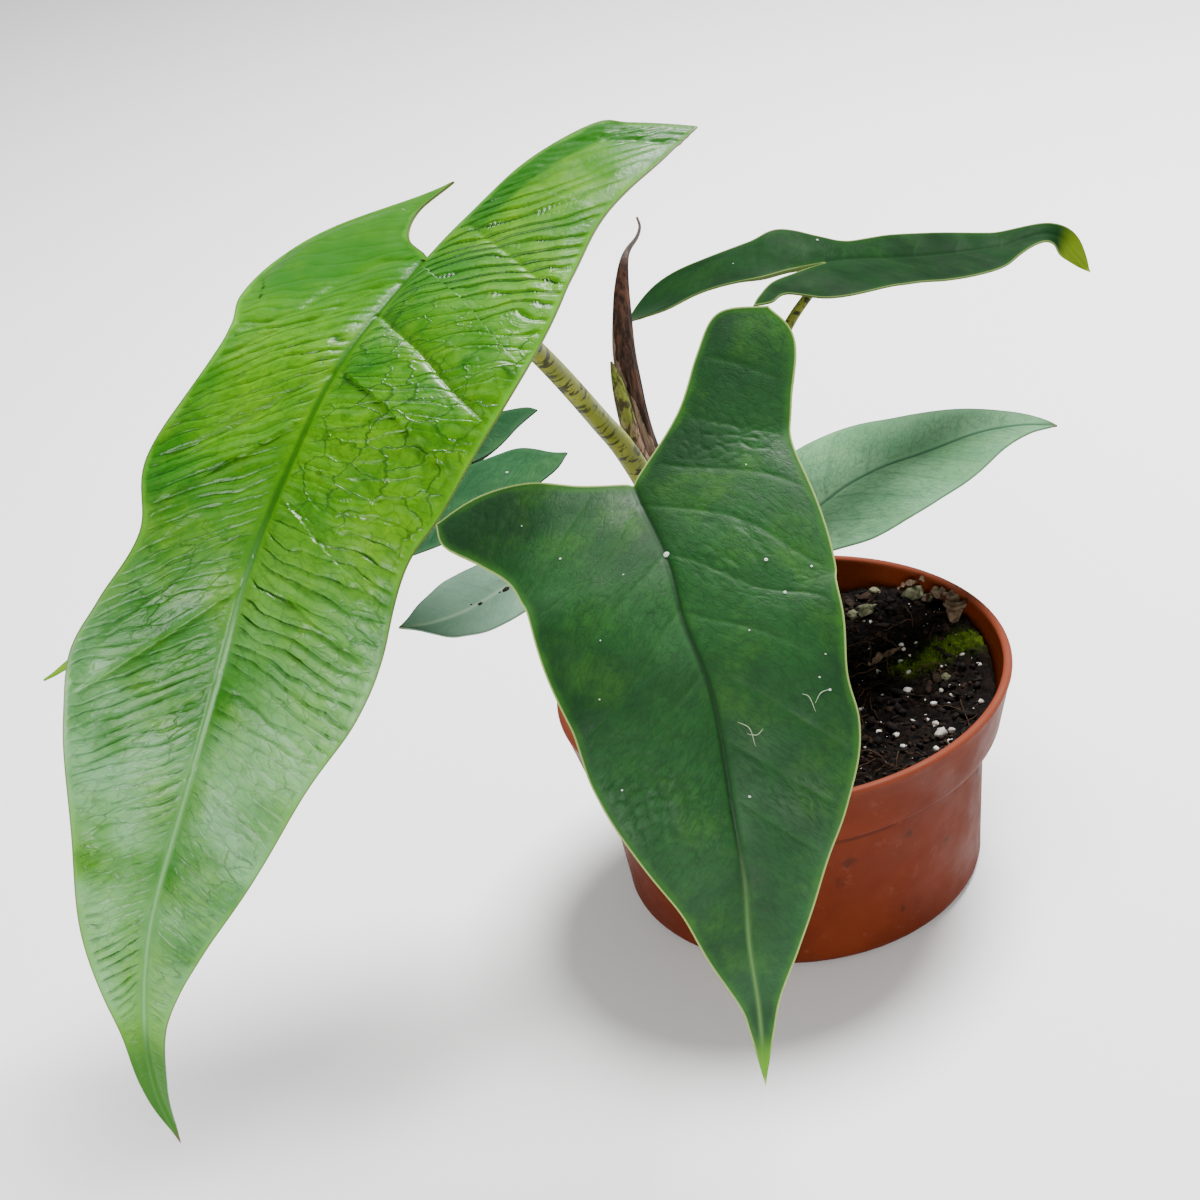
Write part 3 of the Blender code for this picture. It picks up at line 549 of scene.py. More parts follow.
def relief(looks, side, s, w, edge, inner):
    """How far the blade's face stands above its plain form, in centimetres, and the marks of its veins, with the masks
    for painted shade in the furrows and on the lobe's lip.
    """
    half = looks["right" if side > 0 else "left"]
    seed = looks["seed"] + (0 if side > 0 else 40)
    starts = np.array([start for start, strength in half["veins"]])
    strengths = np.array([strength for start, strength in half["veins"]])
    shift = 0.10 * noise2(s * 0.6, w * 0.8, seed + 5)
    slope = np.interp(s, *half["slope"])
    c = s - slope * w + shift
    gaps = np.abs(c[..., None] - starts)
    nearest = gaps.argmin(axis=-1)
    gap = gaps.min(axis=-1) / np.sqrt(1 + slope**2)
    strength = strengths[nearest]
    inside = stepped(edge, 0.10, 0.55) * stepped(w, 0.03, 0.45)
    height = looks["quilt"] * (1 - np.exp(-gap / 0.30)) * strength * inside
    height += 0.6 * looks["quilt"] * layered(s * 0.45, w * 0.6, seed + 23) * inside
    groove = np.exp(-((gap / looks["vein_width"]) ** 2)) * stepped(edge, 0.12, 0.45) * strength
    height -= looks["groove"] * groove
    where = stepped(edge, 0.05, 0.20) * stepped(w, 0.04, 0.26)
    for low, high, least in half["plain"]:
        where = where * (least + (1 - least) * stepped(s, low, high))
    patch = layered(s * 0.5, w * 0.5, seed + 9)
    where = where * np.clip(0.85 + 0.5 * patch, 0.3, 1.0)
    lean = np.interp(s, *half["grain"]) + 0.10 * w + 0.25 * layered(s * 0.7, w * 0.7, seed + 13)
    netted = np.clip(np.interp(s, *half["netted"]) + 0.5 * layered(s * 0.5, w * 0.7, seed + 37), 0, 1)
    cells = wrinkles(s, w, lean, looks["size"], 1.7 - 0.7 * netted, seed)
    start = traced(s, w, half["grain"])
    turns = np.interp(start, RIDGE_AT, np.cumsum(0.05 / np.interp(RIDGE_AT, *looks["pitch"])))
    phase = turns + 0.75 * layered(start * 1.1, w * 0.8, seed + 31) + 0.42 * layered(start * 2.4, w * 1.5, seed + 77)
    crossed = np.abs(np.gradient(phase, axis=1))
    clear = 1 - stepped(crossed, 0.06, 0.18)
    wave = np.abs(np.sin(np.pi * phase)) + 0.7 * netted
    netting = cells + 0.55 * (1 - netted)
    pillow = 1 - np.exp(-(np.minimum(wave, netting) + 4 * (1 - clear)) / 0.32)
    strong = looks["wrinkle"] * where * (1 - 0.55 * netted)
    for on, patch_s, patch_w, size, extra in looks.get("patches", ()):
        if on == side:
            near = np.exp(-(((s - patch_s) / size) ** 2) - ((w - patch_w) / size) ** 2)
            strong = strong + extra * near * stepped(edge, 0.1, 0.3)
    height += strong * (pillow - 0.6)
    rib = np.exp(-((w / 0.085) ** 2))
    ridge = np.exp(-((w / 0.05) ** 2)) * stepped(s, *looks["ridge"])
    height += -looks["midrib"] * rib + 1.2 * looks["midrib"] * ridge
    height += 0.012 * np.exp(-((edge / 0.06) ** 2))
    lip = np.zeros_like(s)
    if half["lip"]:
        lip = stepped(-s, 0.5, 1.5) * (1 - stepped(inner, half["lip"] * 0.7, half["lip"]))
        ripple = np.sin(2 * np.pi * (s + 0.5 * w) / 0.23 + 5 * layered(s * 1.4, w * 2, seed)) * stepped(inner, 0.05, 0.25)
        height += lip * (0.010 * ripple - 0.03)
    # The furrow mask is where the leaf's colour gets painted shade in the furrows; the lip mask also carries painted
    # shade on the lobe's inner lip.
    furrow_shade = np.exp(-((netting / 0.25) ** 2)) * where
    marks = np.stack([groove, furrow_shade, lip, rib], axis=-1)
    waves = np.stack([phase, netted, clear, np.full_like(s, 0.5)], axis=-1)
    return height, marks, where, ridge, waves


def make_blade(name, leaf, looks, material):
    """A leaf blade in fine triangles, upper face and under face, standing for the plain one."""
    blade = Blade(leaf)
    points, shades, places, edges, lines, faces = [], [], [], [], [], []
    count = 0
    shared = None
    for side in (1, -1):
        grid, lobe_rows, rim = blade.half(side, looks["fine"], looks["cells"])
        s, w = grid[..., 0], grid[..., 1]
        edge = away_from(grid, rim)
        inner = away_from(grid, blade.inner_rim(side))
        height, marks, where, ridge, waves = relief(looks, side, s, w, edge, inner)
        point, facing = blade.place(s, w, side)
        rib = np.exp(-((w / 0.10) ** 2)) * (1 - 0.8 * np.clip(s / blade.length, 0, 1))
        depth = 0.05 + 0.06 * rib + 0.012 * marks[..., 0]
        top = point + facing * height[..., None]
        under = (point + facing * (height - depth)[..., None])[::2, ::2]
        place = np.stack([s / blade.length, w / 4, where, np.full(s.shape, 0.5 + 0.5 * side)], axis=-1)
        upper = count + np.arange(s.size).reshape(s.shape)
        count += s.size
        lower = count + np.arange(under.shape[0] * under.shape[1]).reshape(under.shape[:2])
        count += lower.size
        for index, first in ((upper, lobe_rows), (lower, lobe_rows // 2)):
            index[0, :] = index[0, 0]
            index[-1, :] = index[-1, 0]
        if shared is not None:
            upper[lobe_rows:, 0] = shared[0][lobe_rows:, 0]
            lower[lobe_rows // 2 :, 0] = shared[1][lobe_rows // 2 :, 0]
            upper[-1, :] = shared[0][-1, 0]
            lower[-1, :] = shared[1][-1, 0]
        shared = shared or (upper, lower)
        turn = slice(None, None, -1) if side > 0 else slice(None)
        faces.append(sheet_faces(upper)[:, turn])
        faces.append(sheet_faces(lower)[:, ::-1][:, turn])
        faces.append(rim_faces(upper[:, -1], lower[:, -1])[:, :: side])
        opening = lobe_rows + 1
        low = lobe_rows // 2 + 1
        faces.append(rim_faces(upper[:opening, 0], lower[:low, 0])[:, :: -side])
        for values, upper_values in ((points, top), (shades, marks), (places, place), (lines, waves)):
            values.append(upper_values.reshape(-1, upper_values.shape[-1]))
            lower_values = under if values is points else upper_values[::2, ::2]
            values.append(lower_values.reshape(-1, lower_values.shape[-1]))
        grain = looks["right" if side > 0 else "left"]["grain"]
        face = np.stack([edge, np.ones_like(edge), ridge, traced(s, w, grain)], axis=-1)
        edges.append(face.reshape(-1, 4))
        beneath = face[::2, ::2].copy()
        beneath[:, :-1, 1] = 0
        beneath[: lobe_rows // 2 + 1, 0, 1] = 1
        edges.append(beneath.reshape(-1, 4))
    faces = np.vstack(faces)
    used, faces = np.unique(faces, return_inverse=True)
    faces = faces.reshape(-1, 3)
    marks = [("marks", shades), ("place", places), ("face", edges), ("waves", lines)]
    marks = [(label, np.vstack(values)[used]) for label, values in marks]
    obj = mesh_object(f"leaf_{name}", np.vstack(points)[used] * CM, faces, marks)
    obj.data.set_sharp_from_angle(angle=math.radians(60))
    obj.data.materials.append(material)
    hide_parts(f"blade_{name}")
    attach(obj, "root")
    return blade, obj


def rim_faces(fine, coarse):
    """The wall between a fine row of points and one with half as many."""
    first = np.stack([fine[:-2:2], fine[1:-1:2], coarse[:-1]], axis=-1)
    second = np.stack([fine[1:-1:2], coarse[1:], coarse[:-1]], axis=-1)
    third = np.stack([fine[1:-1:2], fine[2::2], coarse[1:]], axis=-1)
    return np.vstack([first, second, third])


def tube_grid(route, radii, sides, shape=None):
    """Rings of points round a route, without twist, with the way round and the distance along each ring."""
    route = np.asarray(route, float)
    ways = unit(np.gradient(route, axis=0))
    side = np.cross(ways[0], (0.0, 1.0, 0.0))
    side = unit(side)
    rings, angles = [], np.linspace(0, 2 * np.pi, sides, endpoint=False)
    for point, way, radius in zip(route, ways, radii):
        side = unit(side - way * np.dot(side, way))
        other = np.cross(way, side)
        rings.append((point, side, other, radius))
    grid = np.empty((len(route), sides, 3))
    lengths = lengths_of(route)
    for k, (point, first, other, radius) in enumerate(rings):
        out = radius * (shape(lengths[k] / lengths[-1], angles) if shape else np.ones(sides))
        grid[k] = point + out[:, None] * (np.cos(angles)[:, None] * first + np.sin(angles)[:, None] * other)
    return grid, lengths, angles


def make_tube(name, node, route, radii, sides, material, shape=None):
    """A closed tube in fine triangles. marks hold the way round, the distance along and its share."""
    grid, lengths, angles = tube_grid(route, radii, sides, shape)
    rows = len(grid)
    index = np.arange(rows * sides).reshape(rows, sides)
    index = np.hstack([index, index[:, :1]])
    faces = [sheet_faces(index)[:, ::-1]]
    points = np.vstack([grid.reshape(-1, 3), grid[0].mean(axis=0), grid[-1].mean(axis=0)])
    foot, top = len(points) - 2, len(points) - 1
    ring = index[0]
    faces.append(np.stack([ring[:-1], ring[1:], np.full(sides, foot)], axis=-1)[:, ::-1])
    ring = index[-1]
    faces.append(np.stack([ring[:-1], ring[1:], np.full(sides, top)], axis=-1))
    along = np.repeat(lengths, sides)
    values = np.stack(
        [np.tile(angles / (2 * np.pi), rows), along, along / lengths[-1], np.ones(rows * sides)], axis=-1
    )
    values = np.vstack([values, values[0], values[-1]])
    obj = mesh_object(name, points * CM, np.vstack(faces), [("around", values)])
    obj.data.materials.append(material)
    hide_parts(node)
    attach(obj, "root")
    return obj


def stalk_route(leaf, blade):
    """From the stem's top, through the leaf's own points, to a seat just under the blade at its notch."""
    angle = math.radians(leaf["stalk_angle"])
    foot = np.array([STALK_BASE_RING * math.cos(angle), STALK_BASE_RING * math.sin(angle), STEM_TOP])
    middle, along, up, right = blade.frame(np.array(STALK_SEAT))
    return smooth_curve([foot, foot + (0, 0, 0.3), *leaf["stalk"], middle - up * 0.12], steps=24)


class Paint:
    """A material made of nodes."""

    def __init__(self, name, roughness=0.5, **fixed):
        self.material = bpy.data.materials.new(name)
        self.material.use_nodes = True
        self.tree = self.material.node_tree
        self.shader = self.tree.nodes["Principled BSDF"]
        self.shader.inputs["Roughness"].default_value = roughness
        for key, value in fixed.items():
            self.shader.inputs[key.replace("_", " ")].default_value = value

    def set(self, socket, value):
        if isinstance(value, bpy.types.NodeSocket):
            self.tree.links.new(value, socket)
        elif isinstance(value, tuple) and len(value) == 3 and socket.type == "RGBA":
            socket.default_value = (*value, 1.0)
        else:
            socket.default_value = value

    def node(self, kind, settings=(), **inputs):
        made = self.tree.nodes.new(kind)
        for key, value in dict(settings).items():
            setattr(made, key, value)
        for key, value in inputs.items():
            self.set(made.inputs[key.replace("_", " ")], value)
        return made

    def parts(self, name):
        """The four numbers of a mesh attribute."""
        read_from = self.node("ShaderNodeAttribute", {"attribute_name": name})
        split = self.node("ShaderNodeSeparateColor", Color=read_from.outputs["Color"])
        return (*split.outputs, read_from.outputs["Alpha"])

    def math(self, kind, a, b=0.0, clamp=False):
        made = self.node("ShaderNodeMath", {"operation": kind, "use_clamp": clamp})
        self.set(made.inputs[0], a)
        self.set(made.inputs[1], b)
        return made.outputs[0]

    def rise(self, value, low, high, least=0.0, most=1.0):
        """A smooth change from least to most while value goes from low to high."""
        made = self.node("ShaderNodeMapRange", {"interpolation_type": "SMOOTHSTEP"})
        for socket, number in zip(made.inputs[:5], (value, low, high, least, most)):
            self.set(socket, number)
        return made.outputs[0]

    def mix(self, part, a, b, kind="MIX"):
        made = self.node("ShaderNodeMix", {"data_type": "RGBA", "blend_type": kind})
        self.set(made.inputs[0], part)
        self.set(made.inputs[6], a)
        self.set(made.inputs[7], b)
        return made.outputs[2]

    def where(self):
        return self.node("ShaderNodeTexCoord").outputs["Object"]

    def noise(self, scale, detail=3.0, roughness=0.55, vector=None, distortion=0.0):
        made = self.node("ShaderNodeTexNoise", Scale=scale, Detail=detail, Roughness=roughness)
        self.set(made.inputs["Distortion"], distortion)
        self.set(made.inputs["Vector"], vector or self.where())
        return made.outputs["Fac"]

    def cells(self, scale, feature="F1", output="Distance", vector=None, randomness=1.0):
        made = self.node("ShaderNodeTexVoronoi", {"feature": feature}, Scale=scale, Randomness=randomness)
        self.set(made.inputs["Vector"], vector or self.where())
        return made.outputs[output]

    def bump(self, height, strength, distance, under=None):
        made = self.node("ShaderNodeBump", Strength=strength, Distance=distance, Height=height)
        if under is not None:
            self.set(made.inputs["Normal"], under)
        return made.outputs[0]

    def done(self, colour, roughness=None, normal=None):
        self.set(self.shader.inputs["Base Color"], colour)
        if roughness is not None:
            self.set(self.shader.inputs["Roughness"], roughness)
        if normal is not None:
            self.set(self.shader.inputs["Normal"], normal)
        return self.material


def leaf_paint(name, tones):
    """A leaf's skin: its two greens, a fine net, veins, painted shade in the furrows, the net's lines, the lobe's lip
    and the left lobe, painted highlights on the ridge crests, a margin with a thin edge, and a painted sheen.
    """
    paint = Paint(name, Coat_Weight=tones["coat"], Coat_Roughness=0.25, Specular_IOR_Level=tones["shine"])
    vein, furrow_shade, lip, rib = paint.parts("marks")
    along, out, wrinkled, side = paint.parts("place")
    edge, upper, ridge, start = paint.parts("face")
    phase, netted, clear, spare = paint.parts("waves")
    broad = paint.noise(28, 3)
    colour = paint.mix(paint.rise(broad, 0.35, 0.65), tones["deep"], tones["bright"])
    patches = paint.rise(paint.noise(75, 4, 0.6), 0.45, 0.72, 0.0, tones["mottle_amount"])
    colour = paint.mix(patches, colour, tones["mottle"])
    grain = paint.noise(420, 4)
    colour = paint.mix(paint.rise(grain, 0.3, 0.7, 0.0, 0.45), colour, tones["deep"])
    # The sheen is a painted reflection: a whitish tone over the outer part of the blade, broken into clouds and kept
    # off the tip.
    painted_sheen = paint.math("MULTIPLY", paint.rise(along, *tones["painted_sheen_from"]), paint.rise(out, 0.0, 0.25, 0.5, 1.0))
    cloud = paint.rise(paint.noise(55, 3), 0.25, 0.7)
    painted_sheen = paint.math("MULTIPLY", painted_sheen, cloud)
    painted_sheen = paint.math("MULTIPLY", painted_sheen, tones["painted_sheen_amount"])
    # Painted shade: the left lobe, up to the notch, is darkened towards the deep green.
    lobe = paint.math("MULTIPLY", paint.rise(along, 0.16, 0.0), paint.rise(side, 0.3, 0.7, tones["lobe"], 0.0))
    colour = paint.mix(lobe, colour, tones["deep"])
    end = paint.rise(along, tones["tip_from"], tones["tip_from"] + 0.07)
    painted_sheen = paint.math("MULTIPLY", painted_sheen, paint.math("SUBTRACT", 1.0, end))
    colour = paint.mix(painted_sheen, colour, tones["painted_sheen"])
    flat = paint.node("ShaderNodeCombineXYZ", X=start, Y=paint.math("MULTIPLY", out, 2.2), Z=side)
    wander = paint.node("ShaderNodeTexNoise", Scale=3.4, Detail=3.0, Vector=flat.outputs[0])
    bent = paint.node("ShaderNodeVectorMath", {"operation": "MULTIPLY_ADD"})
    paint.set(bent.inputs[0], wander.outputs["Color"])
    bent.inputs[1].default_value = (0.34, 0.34, 0.0)
    paint.set(bent.inputs[2], flat.outputs[0])
    net = paint.cells(tones["net_scale"], "DISTANCE_TO_EDGE", vector=bent.outputs[0])
    # The fine net's lines are darkened with painted shade, as well as grooved in the bump below.
    line = paint.rise(net, 0.0, 0.11, 1.0, 0.0)
    line = paint.math("MULTIPLY", line, paint.rise(edge, 0.04, 0.25))
    line = paint.math("MULTIPLY", line, paint.rise(wrinkled, 0.1, 0.7))
    colour = paint.mix(paint.math("MULTIPLY", line, tones["net_amount"]), colour, tones["furrow_shade"])
    wave = paint.math("ABSOLUTE", paint.math("SINE", paint.math("MULTIPLY", phase, math.pi)))
    open_wave = paint.math("ADD", wave, paint.math("MULTIPLY", netted, 0.7))
    # Painted shade in the furrows: streak darkens the troughs between the ridges, the coarse net's lines and the furrow
    # mark.
    streak = paint.math("MULTIPLY", paint.rise(open_wave, 0.0, 0.36, 1.25, 0.0), wrinkled)
    broken = paint.rise(paint.noise(170, 4, 0.6), 0.34, 0.56, 0.35, 1.1)
    streak = paint.math("MULTIPLY", streak, broken)
    coarse = paint.cells(tones["net_scale"] * 0.45, "DISTANCE_TO_EDGE", vector=bent.outputs[0])
    mesh_line = paint.math("MULTIPLY", paint.rise(coarse, 0.0, 0.06, 0.8, 0.0), wrinkled)
    mesh_line = paint.math("MULTIPLY", mesh_line, paint.rise(netted, 0.15, 0.6))
    streak = paint.math("MAXIMUM", streak, mesh_line)
    streak = paint.math("MAXIMUM", streak, paint.math("MULTIPLY", furrow_shade, 0.5))
    # Painted highlight: pale thin lines along the ridge crests, broken up by noise.
    crest_highlight = paint.math("MULTIPLY", paint.rise(wave, 0.80, 0.97), wrinkled)
    crest_highlight = paint.math("MULTIPLY", crest_highlight, paint.rise(paint.noise(60, 4, 0.6), 0.42, 0.62))
    colour = paint.mix(paint.math("MULTIPLY", crest_highlight, tones["crest_highlight_amount"]), colour, tones["crest_highlight"])
    colour = paint.mix(paint.math("MULTIPLY", streak, tones["furrow_shade_amount"]), colour, tones["furrow_shade"])
    colour = paint.mix(paint.math("MULTIPLY", vein, tones["vein_amount"]), colour, tones["vein"])
    colour = paint.mix(paint.rise(rib, 0.3, 0.95, 0.0, tones["rib_amount"]), colour, tones["rib"])
    pale = paint.math("MULTIPLY", ridge, paint.math("SUBTRACT", 1.0, end))
    colour = paint.mix(paint.math("MULTIPLY", pale, tones["ridge_amount"]), colour, tones["ridge"])
    # Painted shade on the lobe's inner lip, the band along its inner edge that curls down.
    colour = paint.mix(paint.math("MULTIPLY", lip, tones["lip_amount"]), colour, tones["lip"])
    ragged = paint.math("ADD", edge, paint.rise(paint.noise(160, 3), 0.3, 0.7, -0.05, 0.05))
    band = paint.rise(ragged, tones["band"][0], tones["band"][1], tones["band_amount"], 0.0)
    colour = paint.mix(band, colour, tones["margin"])
    rim = paint.rise(edge, 0.015, tones["line_width"], tones["line_amount"], 0.0)
    colour = paint.mix(rim, colour, tones["line"])
    colour = paint.mix(end, colour, tones["tip"])
    colour = paint.mix(paint.rise(along, 0.975, 0.998), colour, tones["point"])
    colour = paint.mix(paint.rise(upper, 0.3, 0.7, 0.65, 0.0), colour, tones["under"])
    sheen = paint.noise(90, 3)
    roughness = paint.rise(sheen, 0.3, 0.7, tones["rough"][0], tones["rough"][1])
    normal = paint.bump(line, tones["net_bump"], -0.0006)
    folds = paint.math("MULTIPLY", paint.rise(open_wave, 0.0, 0.9, 1.0, 0.0), wrinkled)
    folds = paint.math("MULTIPLY", folds, paint.rise(clear, 0.0, 1.0, 1.0, 0.25))
    folds = paint.math("SUBTRACT", folds, paint.math("MULTIPLY", mesh_line, 0.22))
    normal = paint.bump(folds, tones["fold_bump"], -0.0007, normal)
    normal = paint.bump(paint.noise(900, 2), 0.15, 0.0003, normal)
    normal = paint.bump(paint.cells(700, "DISTANCE_TO_EDGE"), 0.10, 0.0002, normal)
    return paint.done(colour, roughness, normal)


EVEN = ((0, 1), (0.8, 0.8))
EVEN_PITCH = ((0, 1), (0.28, 0.28))
DENSE = [(-6, 0.4), (-4.2, 0.4), (-2.4, 0.4), (-0.8, 0.5), (0.6, 0.5), (2.0, 0.5), (3.4, 0.5), (4.8, 0.5)]
DENSE += [(6.2, 0.5), (7.5, 0.5), (8.8, 0.4), (10.0, 0.4), (12.5, 0.3)]
CALM = dict(slope=EVEN, grain=EVEN, netted=((0, 1), (0.7, 0.7)), veins=DENSE, plain=(), lip=0.0)
LOOKS = {
    "left": dict(
        fine=24, cells=52, seed=3, quilt=0.11, groove=0.035, vein_width=0.06, wrinkle=0.068, size=0.42,
        pitch=((-2.0, 1.0), (0.40, 0.29)), midrib=0.05, ridge=(6.0, 9.0),
        right=dict(
            slope=((-4, 0, 2, 8, 20), (-0.3, 0.3, 0.52, 0.45, 0.7)),
            grain=((-4, 0, 3, 6, 10, 14, 20), (-1.1, -0.9, -0.35, 0.05, 0.25, 0.4, 0.8)),
            veins=[(-5.5, 0.3), (-3.4, 0.4), (-1.0, 0.5), (1.75, 1.0), (4.6, 0.35), (7.25, 0.9), (9.3, 0.4)]
            + [(11.3, 0.45), (13.1, 0.4), (14.7, 0.4), (16.2, 0.3), (17.6, 0.3), (24, 0.0)],
            plain=((-3.2, -0.6, 0.15),),
            netted=((-4, 0.3, 1.8, 4.5, 6.5, 10, 21), (0.0, 0.0, 0.8, 0.8, 0.1, 0.3, 0.3)),
            lip=0.75,
        ),
        left=dict(
            slope=((-3, 0.3, 2, 8, 20), (-0.3, 0.15, 1.1, 1.2, 1.2)),
            grain=((-3, 0, 3, 8, 20), (0.2, 0.4, 0.75, 0.7, 0.7)),
            veins=[(-5, 0.2), (-2.2, 0.3), (0.2, 0.8), (0.85, 0.8), (3.35, 1.0), (5.4, 0.3), (7.65, 1.0)]
            + [(9.6, 0.35), (11.4, 0.4), (13.0, 0.35), (14.6, 0.35), (16.0, 0.3), (24, 0.0)],
            plain=((0.5, 4.5, 0.25),),
            netted=((-4, 3, 6, 8, 21), (0.4, 0.0, 0.25, 0.3, 0.25)),
            lip=0.0,
        ),
    ),
    "front": dict(
        fine=22, cells=58, seed=21, quilt=0.05, groove=0.02, vein_width=0.06, wrinkle=0.011, size=0.30,
        pitch=EVEN_PITCH, midrib=0.05, ridge=(8.0, 11.0), right=dict(CALM), left=dict(CALM),
        patches=[(1, -0.1, 2.0, 0.7, 0.028), (1, 0.3, 2.7, 0.6, 0.022), (1, 2.4, 1.4, 0.8, 0.032)]
        + [(1, 3.3, 2.4, 0.9, 0.016), (-1, 7.2, 1.9, 1.0, 0.048), (-1, 7.5, 0.6, 0.8, 0.034), (1, 7.6, 1.0, 1.0, 0.024)]
        + [(-1, -0.2, 3.0, 0.8, 0.012), (-1, 4.6, 1.0, 0.7, 0.010), (1, 10.0, 0.8, 1.2, 0.014), (-1, 10.2, 0.8, 1.2, 0.014)],
    ),
    "upper_right": dict(
        fine=14, cells=36, seed=33, quilt=0.04, groove=0.012, vein_width=0.05, wrinkle=0.008, size=0.35,
        pitch=EVEN_PITCH, midrib=0.03, ridge=(7.0, 9.0), right=dict(CALM), left=dict(CALM),
    ),
    "lower_right": dict(
        fine=14, cells=36, seed=47, quilt=0.04, groove=0.012, vein_width=0.05, wrinkle=0.005, size=0.35,
        pitch=EVEN_PITCH, midrib=0.03, ridge=(9.0, 12.0), right=dict(CALM), left=dict(CALM),
    ),
    "rear_left": dict(
        fine=14, cells=40, seed=59, quilt=0.06, groove=0.015, vein_width=0.05, wrinkle=0.010, size=0.35,
        pitch=EVEN_PITCH, midrib=0.04, ridge=(3.0, 5.0), right=dict(CALM), left=dict(CALM),
    ),
    "small_left": dict(
        fine=14, cells=28, seed=61, quilt=0.02, groove=0.006, vein_width=0.04, wrinkle=0.003, size=0.35,
        pitch=EVEN_PITCH, midrib=0.02, ridge=(0.0, 0.5), right=dict(CALM), left=dict(CALM),
    ),
}

# In these tones the sheen colour, with its reach and amount, is a painted reflection; the crest colour is a painted
# highlight; the furrow colour, the lip colour and the lobe amount are painted shade.
NEW_LEAF = dict(
    deep=(0.013, 0.110, 0.0), bright=(0.072, 0.225, 0.0), mottle=(0.14, 0.30, 0.0), mottle_amount=0.4,
    crest_highlight=(0.17, 0.38, 0.07), crest_highlight_amount=0.22, fold_bump=0.9, lobe=0.6,
    painted_sheen=(0.17, 0.37, 0.18), painted_sheen_from=(0.25, 0.60), painted_sheen_amount=0.7, net_scale=5.5, net_amount=0.25,
    net_bump=0.10, furrow_shade=(0.003, 0.042, 0.0), furrow_shade_amount=0.88, vein=(0.09, 0.28, 0.01), vein_amount=0.2,
    rib=(0.010, 0.075, 0.0), rib_amount=0.85, ridge=(0.14, 0.34, 0.11), ridge_amount=0.7,
    band=(0.03, 0.13), band_amount=0.4, margin=(0.10, 0.32, 0.02), line=(0.07, 0.075, 0.02), line_width=0.035,
    line_amount=0.8, lip=(0.006, 0.080, 0.0), lip_amount=0.85, tip_from=0.82, tip=(0.018, 0.100, 0.0),
    point=(0.07, 0.04, 0.015),
    under=(0.08, 0.19, 0.05), rough=(0.26, 0.40), coat=0.0, shine=0.22,
)
DARK_LEAF = dict(
    deep=(0.0035, 0.030, 0.0055), bright=(0.010, 0.062, 0.011), mottle=(0.030, 0.115, 0.006), mottle_amount=0.45,
    crest_highlight=(0.05, 0.12, 0.03), crest_highlight_amount=0.0, fold_bump=0.06, lobe=0.0,
    painted_sheen=(0.020, 0.085, 0.028), painted_sheen_from=(0.2, 0.9), painted_sheen_amount=0.35, net_scale=7.0, net_amount=0.30,
    net_bump=0.10, furrow_shade=(0.002, 0.018, 0.003), furrow_shade_amount=0.35, vein=(0.014, 0.070, 0.010), vein_amount=0.35,
    rib=(0.003, 0.022, 0.004), rib_amount=0.85, ridge=(0.09, 0.20, 0.05), ridge_amount=0.6,
    band=(0.03, 0.22), band_amount=0.35, margin=(0.030, 0.13, 0.004), line=(0.26, 0.34, 0.10), line_width=0.05,
    line_amount=0.8, lip=(0.004, 0.03, 0.008), lip_amount=0.75, tip_from=0.89, tip=(0.07, 0.20, 0.006),
    point=(0.25, 0.33, 0.08),
    under=(0.030, 0.09, 0.030), rough=(0.50, 0.68), coat=0.0, shine=0.16,
)
UPPER_LEAF = dict(
    DARK_LEAF, deep=(0.0010, 0.013, 0.0020), bright=(0.003, 0.029, 0.004), mottle=(0.008, 0.045, 0.004), tip=(0.10, 0.16, 0.006), tip_from=0.83,
    point=(0.24, 0.28, 0.02), line_amount=0.3, band_amount=0.2, ridge_amount=0.0, shine=0.05, rough=(0.6, 0.8),
    painted_sheen_amount=0.05, vein=(0.006, 0.036, 0.006), margin=(0.012, 0.060, 0.004),
)
GREY_LEAF = dict(
    DARK_LEAF, deep=(0.082, 0.215, 0.097), bright=(0.150, 0.320, 0.165), mottle=(0.18, 0.35, 0.15),
    furrow_shade=(0.018, 0.058, 0.030), vein=(0.032, 0.095, 0.050), vein_amount=0.55, rib=(0.025, 0.080, 0.042),
    painted_sheen=(0.07, 0.15, 0.09), margin=(0.05, 0.12, 0.06), band_amount=0.2, line=(0.04, 0.08, 0.04),
    line_amount=0.5, ridge_amount=0.1, tip=(0.07, 0.14, 0.07), point=(0.10, 0.07, 0.03), tip_from=0.93, shine=0.06,
)
REAR_LEAF = dict(
    GREY_LEAF, deep=(0.008, 0.045, 0.014), bright=(0.022, 0.085, 0.030), painted_sheen=(0.06, 0.14, 0.08),
    mottle=(0.04, 0.12, 0.03), furrow_shade=(0.005, 0.03, 0.01), vein=(0.012, 0.05, 0.018), rib=(0.008, 0.035, 0.012),
    painted_sheen_from=(0.3, 0.8), painted_sheen_amount=0.5, rough=(0.42, 0.6), tip=(0.10, 0.22, 0.01), point=(0.12, 0.24, 0.02),
    tip_from=0.84,
)
PALE_LEAF = dict(
    GREY_LEAF, deep=(0.15, 0.27, 0.19), bright=(0.21, 0.35, 0.25), mottle=(0.25, 0.39, 0.28),
    furrow_shade=(0.12, 0.22, 0.15), vein=(0.13, 0.23, 0.16), rib=(0.25, 0.38, 0.26), ridge=(0.30, 0.43, 0.30),
    ridge_amount=0.6, margin=(0.12, 0.20, 0.14), under=(0.10, 0.17, 0.10), tip=(0.10, 0.14, 0.07),
)


